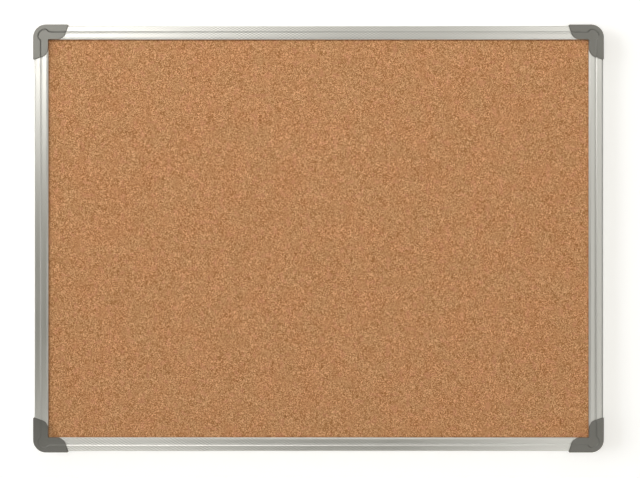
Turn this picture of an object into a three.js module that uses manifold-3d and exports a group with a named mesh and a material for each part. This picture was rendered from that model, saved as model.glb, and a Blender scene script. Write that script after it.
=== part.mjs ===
// A cork pin board that hangs on a wall. A panel of cork, softboard and backing sheet sits in four aluminium
// rails. Plastic corner mouldings cover the rails' ends, plug into them with two legs and are screwed from the
// rear. Keyhole hangers slide in the rear slots of the top and bottom rails.
//
// Units are millimetres. The finished board stands upright as it hangs: +X to the viewer's right, +Z up, the
// front facing -Y, and the origin in the wall plane behind the middle of the board. It is drawn lying in its
// own frame, x right, y up and z from the wall to the front, and the last group turns it upright.
import * as THREE from "three";
import { mergeVertices } from "three/addons/utils/BufferGeometryUtils.js";
import Module from "manifold-3d";

const wasm = await Module();
wasm.setup();

// Overall size, over the corner mouldings
const boardWidth = 600;
const boardHeight = 450;

// Clearances
const fit = 0.25; // between fixed pieces that plug together or lie against each other
const glueLine = 0.1; // between the bonded layers of the panel
const slideFit = 0.2; // round a hanger in its slot
const screwFit = 0.15; // round a screw in its holes

// Panel layers
const corkThickness = 2;
const coreThickness = 7;
const backThickness = 0.4;

// Rail section: u runs inwards from the rail's outer side, w from the wall to the front
const railFace = 14.5; // outer side to the tip of the front lip
const outerWall = 1.2;
const chamberWidth = 5.6; // hollow that takes the mouldings' legs
const webWall = 1.2; // between the chamber and the panel's edge
const frontWall = 2;
const chamberBack = 1.6; // rear wall of the chamber, thick enough for a countersunk head
const slotBack = 1; // rear wall of the hanger slot
const flangeWall = 1; // between the hanger slot and the panel
const flangeReach = 5.8; // how far the slot's walls reach in past the web
const hookWidth = 1; // the lip on the flange that keeps a hanger in the slot
const grooveCentre = 6.75;
const grooveWidth = 2.4;
const grooveDepth = 0.7; // below the inner band
const grooveRadius = 0.8;
const bandStep = 0.5; // the face's inner band lies this far behind its outer band
const lipBevelWidth = 1.9;
const lipBevelDepth = 0.8;
const railFrontRadius = 1.2;
const railBackRadius = 0.4;

// Corner mouldings
const capWall = 0.95; // side wall, outside the rails
const capPlate = 1.25; // front plate, over the rails' outer band
const capStep = 0.6; // the plate's inner tier lies this far behind its outer tier
const capCornerRadius = 13.5;
const capArm = 37.3; // length of an arm along the board's outer edge
const capArmRake = THREE.MathUtils.degToRad(19.4); // how far an arm's end leans from square
const capArmRadius = 9; // where an arm's end turns into its inner edge
const capInnerRadius = 1.2;
const capEdgeRound = 0.5;
const lobeBand = 4.6; // width of the outer tier round the corner
const lobeShoulder = 1.6; // run of the slanted wall at either end of the lobe
const legReach = 26; // how far a leg reaches into its rail
const legTipRadius = 2;
const pocketWall = 1.8; // walls left round the pockets in the moulding's rear
const pocketDepth = 2.4;
const pocketRib = 1.4;

// Corner screws
const screwHeadRadius = 2.4;
const screwHeadHeight = 1.25;
const screwRim = 0.25; // straight edge of the head
const screwShankRadius = 1.2;
const screwLength = 9;
const screwPoint = 1.6;
const screwInset = 13; // from a rail's end to its screw
const screwHoleSpare = 1; // depth of the leg's hole past the screw's point
const screwSink = 0.1; // below the rail's rear face
const crossReach = 1.3;
const crossWidth = 0.7;
const crossDepth = 0.8;

// Hangers
const hangerWidth = 36;
const hangerReach = 32; // plate past the rail's slot
const hangerThickness = 0.8;
const hangerCornerRadius = 5;
const hangerSetBack = 0.3; // from the wall plane to the plate
const hangerBend = 1; // run of the bend from the slot to the plate
const hangerInset = 100; // from the board's outer edge to the middle of a hanger
const keyholeRadius = 4.5;
const keyholeSlotWidth = 4.2;
const keyholeSlotReach = 7.5; // from the keyhole's centre to the centre of a slot's round end

// Depths from the wall, worked out through the stack
const slotHeight = 2 * hangerThickness + 2 * slideFit; // a folded hem is two plates thick
const slotFront = slotBack + slotHeight;
const mouthFront = slotBack + hangerThickness + 2 * slideFit;
const flangeFront = slotFront + flangeWall;
const backSheetRear = flangeFront + fit;
const coreRear = backSheetRear + backThickness + glueLine;
const corkRear = coreRear + coreThickness + glueLine;
const lipRear = corkRear + corkThickness + fit;
const railFront = lipRear + frontWall;
const innerBand = railFront - bandStep;
const capFront = railFront + fit + capPlate;
const capInnerFront = capFront - capStep;

// Distances across a rail
const webOuter = outerWall + chamberWidth;
const webInner = webOuter + webWall;
const chamberCentre = outerWall + chamberWidth / 2;
const flangeEdge = webInner + flangeReach;
const grooveEdge = grooveCentre + grooveWidth / 2;

// Distances from the board's outer edges
const capProud = capWall + fit;
const capFace = capProud + railFace;
const panelInset = capProud + webInner + fit;
const cornerBlock = Math.max(capFace, capCornerRadius); // the solid corner between two rails' ends
const railStart = cornerBlock + fit;

const weld = 1; // how far joined shapes run into each other
const clear = 5; // how far a cutter runs past what it cuts
const arcSteps = 3; // half the straight pieces in a rounded corner
const roundSides = 20;

const X = new THREE.Vector3(1, 0, 0);
const Y = new THREE.Vector3(0, 1, 0);
const Z = new THREE.Vector3(0, 0, 1);

// A closed outline from corners [x, y, radius], listed anticlockwise; a corner with no radius stays sharp.
function outline(corners) {
  const shape = new THREE.Shape();
  const last = corners.length - 1;
  corners.forEach(([x, y, radius = 0], i) => {
    if (!radius) {
      if (i) shape.lineTo(x, y);
      else shape.moveTo(x, y);
      return;
    }
    const corner = new THREE.Vector2(x, y);
    const before = new THREE.Vector2(...corners[i ? i - 1 : last]).sub(corner).normalize();
    const after = new THREE.Vector2(...corners[i < last ? i + 1 : 0]).sub(corner).normalize();
    const half = Math.acos(THREE.MathUtils.clamp(before.dot(after), -1, 1)) / 2;
    const run = radius / Math.tan(half);
    const start = corner.clone().addScaledVector(before, run);
    const end = corner.clone().addScaledVector(after, run);
    const inward = before.clone().add(after).normalize();
    const centre = corner.clone().addScaledVector(inward, radius / Math.sin(half));
    if (!i) shape.moveTo(start.x, start.y);
    const from = start.sub(centre).angle();
    const to = end.sub(centre).angle();
    shape.absarc(centre.x, centre.y, radius, from, to, before.cross(after) > 0);
  });
  shape.closePath();
  return shape;
}

// A prism of an outline in x and y, from one height to another, with rounded rims if asked.
function prism(shape, from, to, round = 0) {
  const geometry = new THREE.ExtrudeGeometry(shape, {
    depth: to - from - 2 * round,
    curveSegments: arcSteps,
    bevelEnabled: round > 0,
    bevelThickness: round,
    bevelSize: round,
    bevelOffset: -round,
    bevelSegments: 2,
  });
  return geometry.translate(0, 0, from + round);
}

// A section in u and w swept along x, with u across y.
function sweepX(section, from, to) {
  return prism(section, from, to).applyMatrix4(new THREE.Matrix4().makeBasis(Y, Z, X));
}

// The same section swept along y, with u across x.
function sweepY(section, from, to) {
  const turn = new THREE.Matrix4().makeBasis(X, Z, Y.clone().negate());
  return prism(section, -to, -from).applyMatrix4(turn);
}

// A block between two corners.
function block(low, high) {
  const size = high.map((value, i) => value - low[i]);
  const middle = high.map((value, i) => (value + low[i]) / 2);
  return new THREE.BoxGeometry(...size).translate(...middle);
}

// A turned solid along z from points [radius, height] that start and end on the axis.
function turned(points) {
  const profile = points.map(([radius, height]) => new THREE.Vector2(radius, height));
  return new THREE.LatheGeometry(profile, roundSides).rotateX(Math.PI / 2);
}

// A geometry as a solid that can be joined and cut.
function solid(geometry) {
  const bare = geometry.clone().deleteAttribute("normal").deleteAttribute("uv");
  const merged = mergeVertices(bare);
  return new wasm.Manifold(
    new wasm.Mesh({
      numProp: 3,
      vertProperties: new Float32Array(merged.attributes.position.array),
      triVerts: new Uint32Array(merged.index.array),
    }),
  );
}

// A solid back as a geometry.
function geometryOf(made) {
  const { vertProperties, triVerts } = made.getMesh();
  const geometry = new THREE.BufferGeometry();
  geometry.setAttribute("position", new THREE.BufferAttribute(new Float32Array(vertProperties), 3));
  geometry.setIndex(new THREE.BufferAttribute(new Uint32Array(triVerts), 1));
  geometry.computeVertexNormals();
  return geometry;
}

// Rails

// The extrusion's section: face with a groove, chamber, panel channel and hooked hanger slot.
function railSection() {
  const section = outline([
    [0, 0, railBackRadius],
    [flangeEdge, 0],
    [flangeEdge, slotBack],
    [webInner, slotBack],
    [webInner, slotFront],
    [flangeEdge - hookWidth, slotFront],
    [flangeEdge - hookWidth, mouthFront],
    [flangeEdge, mouthFront],
    [flangeEdge, flangeFront],
    [webInner, flangeFront],
    [webInner, lipRear],
    [railFace, lipRear],
    [railFace, innerBand - lipBevelDepth],
    [railFace - lipBevelWidth, innerBand],
    [grooveEdge, innerBand],
    [grooveCentre, innerBand - grooveDepth, grooveRadius],
    [grooveEdge - grooveWidth, railFront],
    [0, railFront, railFrontRadius],
  ]);
  section.holes.push(
    outline([
      [outerWall, chamberBack],
      [outerWall, lipRear],
      [webOuter, lipRear],
      [webOuter, chamberBack],
    ]),
  );
  return section;
}

function rail(length) {
  const shankHole = screwShankRadius + screwFit;
  const headHole = screwHeadRadius + screwFit;
  const hole = turned([
    [0, -clear],
    [headHole, -clear],
    [headHole, screwSink + screwRim],
    [shankHole, screwSink + screwHeadHeight],
    [shankHole, chamberBack + clear],
    [0, chamberBack + clear],
  ]);
  const screwPlace = length / 2 - screwInset;
  let made = solid(sweepX(railSection(), -length / 2, length / 2));
  for (const side of [-1, 1]) {
    made = made.subtract(solid(hole.clone().translate(side * screwPlace, chamberCentre, 0)));
  }
  return geometryOf(made);
}

// Corner mouldings, drawn with the board's outer corner at the origin and an arm along each axis

// How far an arm's end has drawn back from its tip at a distance in from the outer edge.
function armDrawback(distance) {
  return distance * Math.tan(capArmRake);
}

// The whole moulding seen from the front.
function capOutline() {
  const armFoot = capArm - armDrawback(capFace);
  return outline([
    [0, 0, capCornerRadius],
    [capArm, 0],
    [armFoot, capFace, capArmRadius],
    [capFace, capFace, capInnerRadius],
    [capFace, armFoot, capArmRadius],
    [0, capArm],
  ]);
}

// The raised outer tier, which narrows round the corner where a round lobe of the inner tier meets it.
function outerTierOutline() {
  const stepLine = capProud + grooveCentre;
  const armEnd = capArm - armDrawback(stepLine);
  const centre = capCornerRadius;
  const shoulder = centre + lobeShoulder;
  const shape = new THREE.Shape();
  shape.moveTo(0, centre);
  shape.absarc(centre, centre, capCornerRadius, Math.PI, 1.5 * Math.PI, false);
  shape.lineTo(capArm, 0);
  shape.lineTo(armEnd, stepLine);
  shape.lineTo(shoulder, stepLine);
  shape.absarc(centre, centre, capCornerRadius - lobeBand, 1.5 * Math.PI, Math.PI, true);
  shape.lineTo(stepLine, shoulder);
  shape.lineTo(stepLine, armEnd);
  shape.lineTo(0, capArm);
  shape.closePath();
  return shape;
}

// The section that a rail needs free under the front plate, measured from the board's outer edge.
function railSpace() {
  const far = capFace + clear;
  return outline([
    [capWall, -clear],
    [far, -clear],
    [far, innerBand - lipBevelDepth + fit],
    [capFace, innerBand - lipBevelDepth + fit],
    [capFace - lipBevelWidth, innerBand + fit],
    [capProud + grooveEdge, innerBand + fit],
    [capProud + grooveEdge, railFront + fit],
    [capWall, railFront + fit],
  ]);
}

// The pockets in the moulding's rear, between its walls and a cross of ribs.
function rearPockets() {
  const far = cornerBlock - pocketWall;
  const rim = outline([
    [pocketWall, pocketWall, capCornerRadius - pocketWall],
    [far, pocketWall],
    [far, far],
    [pocketWall, far],
  ]);
  const ribLow = (cornerBlock - pocketRib) / 2;
  const ribHigh = (cornerBlock + pocketRib) / 2;
  const ribAlongY = block([ribLow, -clear, -clear], [ribHigh, cornerBlock + clear, pocketDepth + clear]);
  const ribAlongX = block([-clear, ribLow, -clear], [cornerBlock + clear, ribHigh, pocketDepth + clear]);
  return solid(prism(rim, -weld, pocketDepth)).subtract(solid(ribAlongY)).subtract(solid(ribAlongX));
}

// A leg that plugs into a rail's chamber, with its screw hole; the one along y swaps x and y.
function leg(alongX) {
  const root = cornerBlock - weld;
  const tip = railStart + legReach;
  const low = capProud + outerWall + fit;
  const high = capProud + webOuter - fit;
  const plan = alongX
    ? outline([[root, low], [tip, low, legTipRadius], [tip, high, legTipRadius], [root, high]])
    : outline([[low, root], [high, root], [high, tip, legTipRadius], [low, tip, legTipRadius]]);
  const screwAlong = railStart + screwInset;
  const screwAcross = capProud + chamberCentre;
  const place = alongX ? [screwAlong, screwAcross] : [screwAcross, screwAlong];
  const holeRadius = screwShankRadius + screwFit;
  const holeEnd = screwSink + screwLength + screwHoleSpare;
  const hole = turned([
    [0, -clear],
    [holeRadius, -clear],
    [holeRadius, holeEnd],
    [0, holeEnd],
  ]).translate(...place, 0);
  return solid(prism(plan, chamberBack + fit, lipRear - fit)).subtract(solid(hole));
}

function cornerMoulding() {
  const far = capArm + clear;
  const behindWall = block([-clear, -clear, -2 * clear], [far, far, 0]);
  const panelCorner = block([panelInset - fit, panelInset - fit, flangeFront], [far, far, lipRear]);
  const shell = solid(prism(capOutline(), -weld, capInnerFront, capEdgeRound))
    .add(solid(prism(outerTierOutline(), innerBand, capFront, capEdgeRound)))
    .subtract(solid(behindWall))
    .subtract(solid(sweepX(railSpace(), cornerBlock, far)))
    .subtract(solid(sweepY(railSpace(), cornerBlock, far)))
    .subtract(solid(panelCorner))
    .subtract(rearPockets());
  return geometryOf(shell.add(leg(true)).add(leg(false)));
}

// Screws

function cornerScrew() {
  const body = turned([
    [0, screwSink],
    [screwHeadRadius, screwSink],
    [screwHeadRadius, screwSink + screwRim],
    [screwShankRadius, screwSink + screwHeadHeight],
    [screwShankRadius, screwSink + screwLength - screwPoint],
    [0, screwSink + screwLength],
  ]);
  const floor = screwSink + crossDepth;
  const half = crossWidth / 2;
  return geometryOf(
    solid(body)
      .subtract(solid(block([-crossReach, -half, -clear], [crossReach, half, floor])))
      .subtract(solid(block([-half, -crossReach, -clear], [half, crossReach, floor]))),
  );
}

// Hangers, drawn in a rail's own u and w, with x along the rail

// The pressed strip's section: a folded hem in the slot, a bend towards the wall and the flat plate.
function hangerSection() {
  const hemLow = webInner + fit;
  const hemHigh = flangeEdge - hookWidth - fit;
  const slotRear = slotBack + slideFit;
  const bendStart = flangeEdge + fit;
  const bendEnd = bendStart + hangerBend;
  const bendAngle = Math.atan2(slotRear - hangerSetBack, hangerBend);
  const bendShift = hangerThickness * Math.tan(bendAngle / 2); // keeps the strip's thickness round the bend
  const plateEnd = flangeEdge + hangerReach;
  return outline([
    [hemLow, slotRear, hangerThickness],
    [bendStart, slotRear],
    [bendEnd, hangerSetBack],
    [plateEnd, hangerSetBack],
    [plateEnd, hangerSetBack + hangerThickness],
    [bendEnd + bendShift, hangerSetBack + hangerThickness],
    [bendStart + bendShift, slotRear + hangerThickness],
    [hemHigh, slotRear + hangerThickness],
    [hemHigh, slotRear + 2 * hangerThickness],
    [hemLow, slotRear + 2 * hangerThickness, hangerThickness],
  ]);
}

// The hanger's plan, with round outer corners and a keyhole that has a slot above and below.
function hangerPlan() {
  const half = hangerWidth / 2;
  const plateEnd = flangeEdge + hangerReach;
  const plan = outline([
    [-half, 0],
    [half, 0],
    [half, plateEnd, hangerCornerRadius],
    [-half, plateEnd, hangerCornerRadius],
  ]);
  const middle = flangeEdge + hangerReach / 2;
  const slot = keyholeSlotWidth / 2;
  const opening = Math.acos(slot / keyholeRadius);
  const keyhole = new THREE.Path();
  keyhole.absarc(0, middle, keyholeRadius, -opening, opening, false);
  keyhole.absarc(0, middle + keyholeSlotReach, slot, 0, Math.PI, false);
  keyhole.absarc(0, middle, keyholeRadius, Math.PI - opening, Math.PI + opening, false);
  keyhole.absarc(0, middle - keyholeSlotReach, slot, Math.PI, 2 * Math.PI, false);
  keyhole.closePath();
  plan.holes.push(keyhole);
  return plan;
}

function hanger() {
  const half = hangerWidth / 2;
  const strip = solid(sweepX(hangerSection(), -half - weld, half + weld));
  return geometryOf(strip.intersect(solid(prism(hangerPlan(), -clear, railFront))));
}

// Finishes

const cork = new THREE.MeshStandardMaterial({ color: 0xb5845b, roughness: 0.95, metalness: 0 });
const softboard = new THREE.MeshStandardMaterial({ color: 0xa88d66, roughness: 1, metalness: 0 });
const greySheet = new THREE.MeshStandardMaterial({ color: 0xb4b5b1, roughness: 0.55, metalness: 0 });
const satinAluminium = new THREE.MeshStandardMaterial({ color: 0xc6c5bf, roughness: 0.35, metalness: 1 });
const greyPlastic = new THREE.MeshStandardMaterial({ color: 0x75746d, roughness: 0.5, metalness: 0 });
const zincPlate = new THREE.MeshStandardMaterial({ color: 0xb9bbb8, roughness: 0.3, metalness: 1 });

// Assembly

function piece(name, geometry, material) {
  const mesh = new THREE.Mesh(geometry, material);
  mesh.name = name;
  return mesh;
}

// A panel layer between two depths.
function layer(name, rear, thickness, material) {
  const width = boardWidth - 2 * panelInset;
  const height = boardHeight - 2 * panelInset;
  const mesh = piece(name, new THREE.BoxGeometry(width, height, thickness), material);
  mesh.position.z = rear + thickness / 2;
  return mesh;
}

const board = new THREE.Group();
board.add(
  layer("back_sheet", backSheetRear, backThickness, greySheet),
  layer("softboard_core", coreRear, coreThickness, softboard),
  layer("cork_sheet", corkRear, corkThickness, cork),
);

// Each side is drawn as the bottom one and turned into place. Its ends are named in the order of its own x.
const sides = [
  { name: "bottom", ends: ["left", "right"], along: boardWidth, across: boardHeight, hung: true },
  { name: "right", ends: ["bottom", "top"], along: boardHeight, across: boardWidth, hung: false },
  { name: "top", ends: ["right", "left"], along: boardWidth, across: boardHeight, hung: true },
  { name: "left", ends: ["top", "bottom"], along: boardHeight, across: boardWidth, hung: false },
];
const cornerNames = ["corner_bottom_left", "corner_bottom_right", "corner_top_right", "corner_top_left"];

sides.forEach(({ name, ends, along, across, hung }, i) => {
  const side = new THREE.Group();
  side.rotation.z = (i * Math.PI) / 2;
  board.add(side);

  const corner = piece(cornerNames[i], cornerMoulding(), greyPlastic);
  corner.position.set(-along / 2, -across / 2, 0);
  side.add(corner);

  const railFrame = new THREE.Group();
  railFrame.position.y = capProud - across / 2;
  side.add(railFrame);

  const length = along - 2 * railStart;
  railFrame.add(piece(`${name}_rail`, rail(length), satinAluminium));
  ends.forEach((end, k) => {
    const direction = k ? 1 : -1;
    const screw = piece(`screw_${name}_rail_${end}`, cornerScrew(), zincPlate);
    screw.position.set(direction * (length / 2 - screwInset), chamberCentre, 0);
    railFrame.add(screw);
    if (!hung) return;
    const plate = piece(`hanger_${name}_${end}`, hanger(), zincPlate);
    plate.position.x = direction * (along / 2 - hangerInset);
    railFrame.add(plate);
  });
});

board.rotation.x = Math.PI / 2;
const pinBoard = new THREE.Group();
pinBoard.add(board);

export default pinBoard;
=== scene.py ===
"""Dresses a cork pin board for its portrait.

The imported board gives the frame: +X to the viewer's right, +Z up, the front facing -Y and the wall
plane at y = 0. Each class below is one sub-assembly of the board, or one finish, or the studio round
it. Sizes are in metres.
"""

import logging
import math
from collections.abc import Callable, Iterable, Sequence
from dataclasses import dataclass
from enum import Enum

import bmesh
import bpy
from bmesh.types import BMEdge, BMesh, BMFace, BMVert
from bpy.types import ID, ColorRamp, Light, Material, NodeSocket, Object
from mathutils import Matrix, Vector, noise

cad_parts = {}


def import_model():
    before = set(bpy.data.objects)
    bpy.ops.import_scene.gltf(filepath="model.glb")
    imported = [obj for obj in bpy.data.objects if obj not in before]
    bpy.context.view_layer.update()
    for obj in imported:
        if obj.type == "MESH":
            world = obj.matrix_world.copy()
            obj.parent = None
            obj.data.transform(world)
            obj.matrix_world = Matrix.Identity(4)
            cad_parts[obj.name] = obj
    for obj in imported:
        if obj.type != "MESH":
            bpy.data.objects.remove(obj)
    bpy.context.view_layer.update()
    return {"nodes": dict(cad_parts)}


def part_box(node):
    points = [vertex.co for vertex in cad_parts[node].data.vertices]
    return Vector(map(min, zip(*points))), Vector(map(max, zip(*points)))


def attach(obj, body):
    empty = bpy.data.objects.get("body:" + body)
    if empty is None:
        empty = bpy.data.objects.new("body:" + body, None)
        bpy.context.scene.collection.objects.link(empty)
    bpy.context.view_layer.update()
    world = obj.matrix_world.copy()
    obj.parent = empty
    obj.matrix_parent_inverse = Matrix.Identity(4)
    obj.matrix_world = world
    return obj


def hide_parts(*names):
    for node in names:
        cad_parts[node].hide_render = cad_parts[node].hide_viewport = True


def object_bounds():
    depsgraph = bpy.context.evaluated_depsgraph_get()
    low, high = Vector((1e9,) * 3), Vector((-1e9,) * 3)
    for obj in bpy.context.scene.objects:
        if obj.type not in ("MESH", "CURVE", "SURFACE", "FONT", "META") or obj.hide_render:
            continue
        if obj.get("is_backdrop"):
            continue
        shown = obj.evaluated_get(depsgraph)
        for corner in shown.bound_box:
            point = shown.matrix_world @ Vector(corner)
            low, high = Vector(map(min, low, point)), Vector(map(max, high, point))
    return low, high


LOG = logging.getLogger("pin_board")
MM = 0.001
BOARD_BODY = "board"
ROUND_STEPS = 6

Colour = tuple[float, float, float]
Corner = tuple[float, float, float]
Stops = Sequence[tuple[float, Colour]]
Put = Callable[[float, float], Vector]


class Side(Enum):
    """The four sides of the frame, counted in quarter turns from the bottom one."""

    BOTTOM = 0
    RIGHT = 1
    TOP = 2
    LEFT = 3

    @property
    def level(self) -> bool:
        """Whether the side lies along X."""
        return self in (Side.BOTTOM, Side.TOP)

    @property
    def turn(self) -> Matrix:
        """The turn about the board's own front axis that takes the bottom side here."""
        return Matrix.Rotation(self.value * math.pi / 2, 4, Vector((0, -1, 0)))

    @property
    def rail_node(self) -> str:
        """The name of the side's rail."""
        return f"{self.name.lower()}_rail"


class Grain(Enum):
    """Which way an extrusion's draw lines run."""

    ALONG_X = "x"
    ALONG_Z = "z"


class Cut(Enum):
    """How one solid changes another."""

    AWAY = "DIFFERENCE"
    JOIN = "UNION"
    KEEP = "INTERSECT"


class Shine(Enum):
    """Where a lamp's light shows: on all surfaces, only in mirroring ones, or only on matt ones."""

    ALL = "all"
    MIRRORED = "mirrored"
    MATT = "matt"


class Ray(Enum):
    """How light reaches the camera from a surface: straight, by way of a mirror or through glass."""

    EYE = "Is Camera Ray"
    MIRROR = "Is Glossy Ray"
    GLASS = "Is Transmission Ray"


# Shader expressions


class Wire:
    """An output socket whose arithmetic adds Math nodes to its material."""

    def __init__(self, paint: "Paint", socket: NodeSocket) -> None:
        """Keeps the socket and the material it belongs to.

        Args:
            paint: The material that the socket is in.
            socket: The output that this wire leads from.
        """
        self.paint = paint
        self.socket = socket

    def __add__(self, other: "Number") -> "Wire":
        """Adds a number or a wire."""
        return self.paint.math("ADD", self, other)

    def __radd__(self, other: float) -> "Wire":
        """Adds this wire to a number."""
        return self.paint.math("ADD", other, self)

    def __sub__(self, other: "Number") -> "Wire":
        """Takes a number or a wire away."""
        return self.paint.math("SUBTRACT", self, other)

    def __rsub__(self, other: float) -> "Wire":
        """Takes this wire away from a number."""
        return self.paint.math("SUBTRACT", other, self)

    def __mul__(self, other: "Number") -> "Wire":
        """Multiplies by a number or a wire."""
        return self.paint.math("MULTIPLY", self, other)

    def __rmul__(self, other: float) -> "Wire":
        """Multiplies a number by this wire."""
        return self.paint.math("MULTIPLY", other, self)

    def __truediv__(self, other: "Number") -> "Wire":
        """Divides by a number or a wire."""
        return self.paint.math("DIVIDE", self, other)

    def __rtruediv__(self, other: float) -> "Wire":
        """Divides a number by this wire."""
        return self.paint.math("DIVIDE", other, self)

    def __lt__(self, other: "Number") -> "Wire":
        """One where this wire is below the other value, and otherwise nought."""
        return self.paint.math("LESS_THAN", self, other)

    def clamped(self) -> "Wire":
        """Holds the value between nought and one."""
        return self.paint.node("ShaderNodeClamp", inputs={"Value": self})

    def cosine(self) -> "Wire":
        """The cosine of this wire in radians."""
        return self.paint.math("COSINE", self, 0.0)


Number = float | Wire
Value = float | Sequence[float] | Wire


class Paint:
    """A material under construction."""

    mix_first: int = 6
    mix_second: int = 7
    mix_result: int = 2

    def __init__(self, name: str) -> None:
        """Starts an empty material.

        Args:
            name: The material's name.
        """
        self.material = bpy.data.materials.new(name)
        self.material.use_nodes = True
        self.tree = self.material.node_tree
        self.tree.nodes.clear()

    def node(
        self,
        kind: str,
        settings: dict[str, object] | None = None,
        inputs: dict[str | int, Value] | None = None,
        out: str | int = 0,
    ) -> Wire:
        """Adds one node.

        Args:
            kind: The node's type.
            settings: Its properties, set first; "stops" holds a ramp's positions and colours.
            inputs: A value or a wire for each named or numbered socket.
            out: The output that is handed back.

        Returns:
            A wire from that output.
        """
        made = self.tree.nodes.new(kind)
        for name, setting in (settings or {}).items():
            if name == "stops":
                self._set_stops(made.color_ramp, setting)
            else:
                setattr(made, name, setting)
        for name, value in (inputs or {}).items():
            if isinstance(value, Wire):
                self.tree.links.new(value.socket, made.inputs[name])
            else:
                made.inputs[name].default_value = value
        return Wire(self, made.outputs[out] if made.outputs else None)

    @staticmethod
    def _set_stops(ramp: ColorRamp, stops: Stops) -> None:
        """Fills a colour ramp.

        Args:
            ramp: The ramp, with Blender's two first stops.
            stops: Positions and colours in rising order.
        """
        while len(ramp.elements) < len(stops):
            ramp.elements.new(1.0)
        for element, (position, colour) in zip(ramp.elements, stops):
            element.position = position
            element.color = (*colour, 1.0)

    def math(self, operation: str, first: Number, second: Number) -> Wire:
        """Adds a Math node for an operation on two values."""
        return self.node("ShaderNodeMath", {"operation": operation}, {0: first, 1: second})

    def place(self) -> Wire:
        """The point on the surface, in metres in the board's frame."""
        return self.node("ShaderNodeTexCoord", out="Object")

    def stretched(self, scale: Sequence[float]) -> Wire:
        """The surface point with each axis scaled by itself."""
        return self.node("ShaderNodeMapping", inputs={"Vector": self.place(), "Scale": scale})

    def axis(self, name: str) -> Wire:
        """One axis of the surface point."""
        return self.node("ShaderNodeSeparateXYZ", inputs={0: self.place()}, out=name)

    def cloud(
        self, size: float, detail: float = 2.0, vector: Wire | None = None, out: str = "Fac",
    ) -> Wire:
        """Soft noise.

        Args:
            size: The width of one cloud in the vector's own units.
            detail: How many finer layers it has.
            vector: Where it is read, or the surface point.
            out: "Fac" for a value or "Color" for three.

        Returns:
            A wire with the noise.
        """
        inputs = {"Vector": vector or self.place(), "Scale": 1.0 / size, "Detail": detail}
        return self.node("ShaderNodeTexNoise", {"normalize": True}, inputs, out)

    def cells(self, size: float, vector: Wire, out: str, feature: str = "F1") -> Wire:
        """Crumb-like cells.

        Args:
            size: The usual width of a cell.
            vector: Where they are read.
            out: The Voronoi output wanted.
            feature: The Voronoi feature that gives it.

        Returns:
            A wire with that output.
        """
        inputs = {"Vector": vector, "Scale": 1.0 / size}
        return self.node("ShaderNodeTexVoronoi", {"feature": feature}, inputs, out)

    def channel(self, colour: Wire, name: str) -> Wire:
        """One channel of a colour."""
        return self.node("ShaderNodeSeparateColor", inputs={0: colour}, out=name)

    def ramp(self, value: Wire, stops: Stops) -> Wire:
        """A colour picked along a ramp."""
        return self.node("ShaderNodeValToRGB", {"stops": stops}, {"Fac": value}, "Color")

    def blend(self, factor: Number, first: Value, second: Value, way: str = "MIX") -> Wire:
        """Mixes two colours.

        Args:
            factor: How much of the second colour.
            first: The first colour.
            second: The second colour.
            way: The Mix node's blend type.

        Returns:
            A wire with the mixed colour.
        """
        settings = {"data_type": "RGBA", "blend_type": way}
        colours = {self.mix_first: self._solid(first), self.mix_second: self._solid(second)}
        return self.node("ShaderNodeMix", settings, {0: factor, **colours}, self.mix_result)

    @staticmethod
    def _solid(colour: Value) -> Value:
        """Gives a plain colour its alpha."""
        return colour if isinstance(colour, Wire) else (*colour, 1.0)

    def scaled(self, colour: Value, factor: Number) -> Wire:
        """A colour made lighter or darker by a value."""
        grey = self.node("ShaderNodeCombineColor", inputs={0: factor, 1: factor, 2: factor})
        return self.blend(1.0, colour, grey, "MULTIPLY")

    def jitter(self, vector: Wire, size: float, reach: float) -> Wire:
        """Shifts a point about by noise, so that what is read there has ragged edges.

        Args:
            vector: The point.
            size: The width of the noise.
            reach: How far it shifts at most, each way, times two.

        Returns:
            A wire with the shifted point.
        """
        drift = self.cloud(size, detail=1.0, out="Color")
        middle = (0.5, 0.5, 0.5)
        centred = self.node("ShaderNodeVectorMath", {"operation": "SUBTRACT"}, {0: drift, 1: middle})
        shift = {0: centred, 1: (reach, reach, reach), 2: vector}
        return self.node("ShaderNodeVectorMath", {"operation": "MULTIPLY_ADD"}, shift)

    def seen_by(self, ray: Ray) -> Wire:
        """One on light paths of one kind, and otherwise nought."""
        return self.node("ShaderNodeLightPath", out=ray.value)

    def bump(self, height: Wire, depth: float, strength: float = 1.0) -> Wire:
        """A normal that follows a height.

        Args:
            height: Nought to one.
            depth: What a height of one stands for.
            strength: How much of it shows.

        Returns:
            A wire with the normal.
        """
        inputs = {"Strength": strength, "Distance": depth, "Height": height}
        return self.node("ShaderNodeBump", inputs=inputs)

    def surface(self, constants: dict[str, Value], varying: dict[str, Wire]) -> Material:
        """Ends the material with its shader.

        Args:
            constants: Values set on the shader's own sockets.
            varying: Wires into its other sockets.

        Returns:
            The finished material.
        """
        shader = self.node("ShaderNodeBsdfPrincipled", inputs={**constants, **varying})
        self.node("ShaderNodeOutputMaterial", inputs={"Surface": shader})
        return self.material


# Finishes, in which a mask is a noise times its gain, less its cut, held between nought and one


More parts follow.
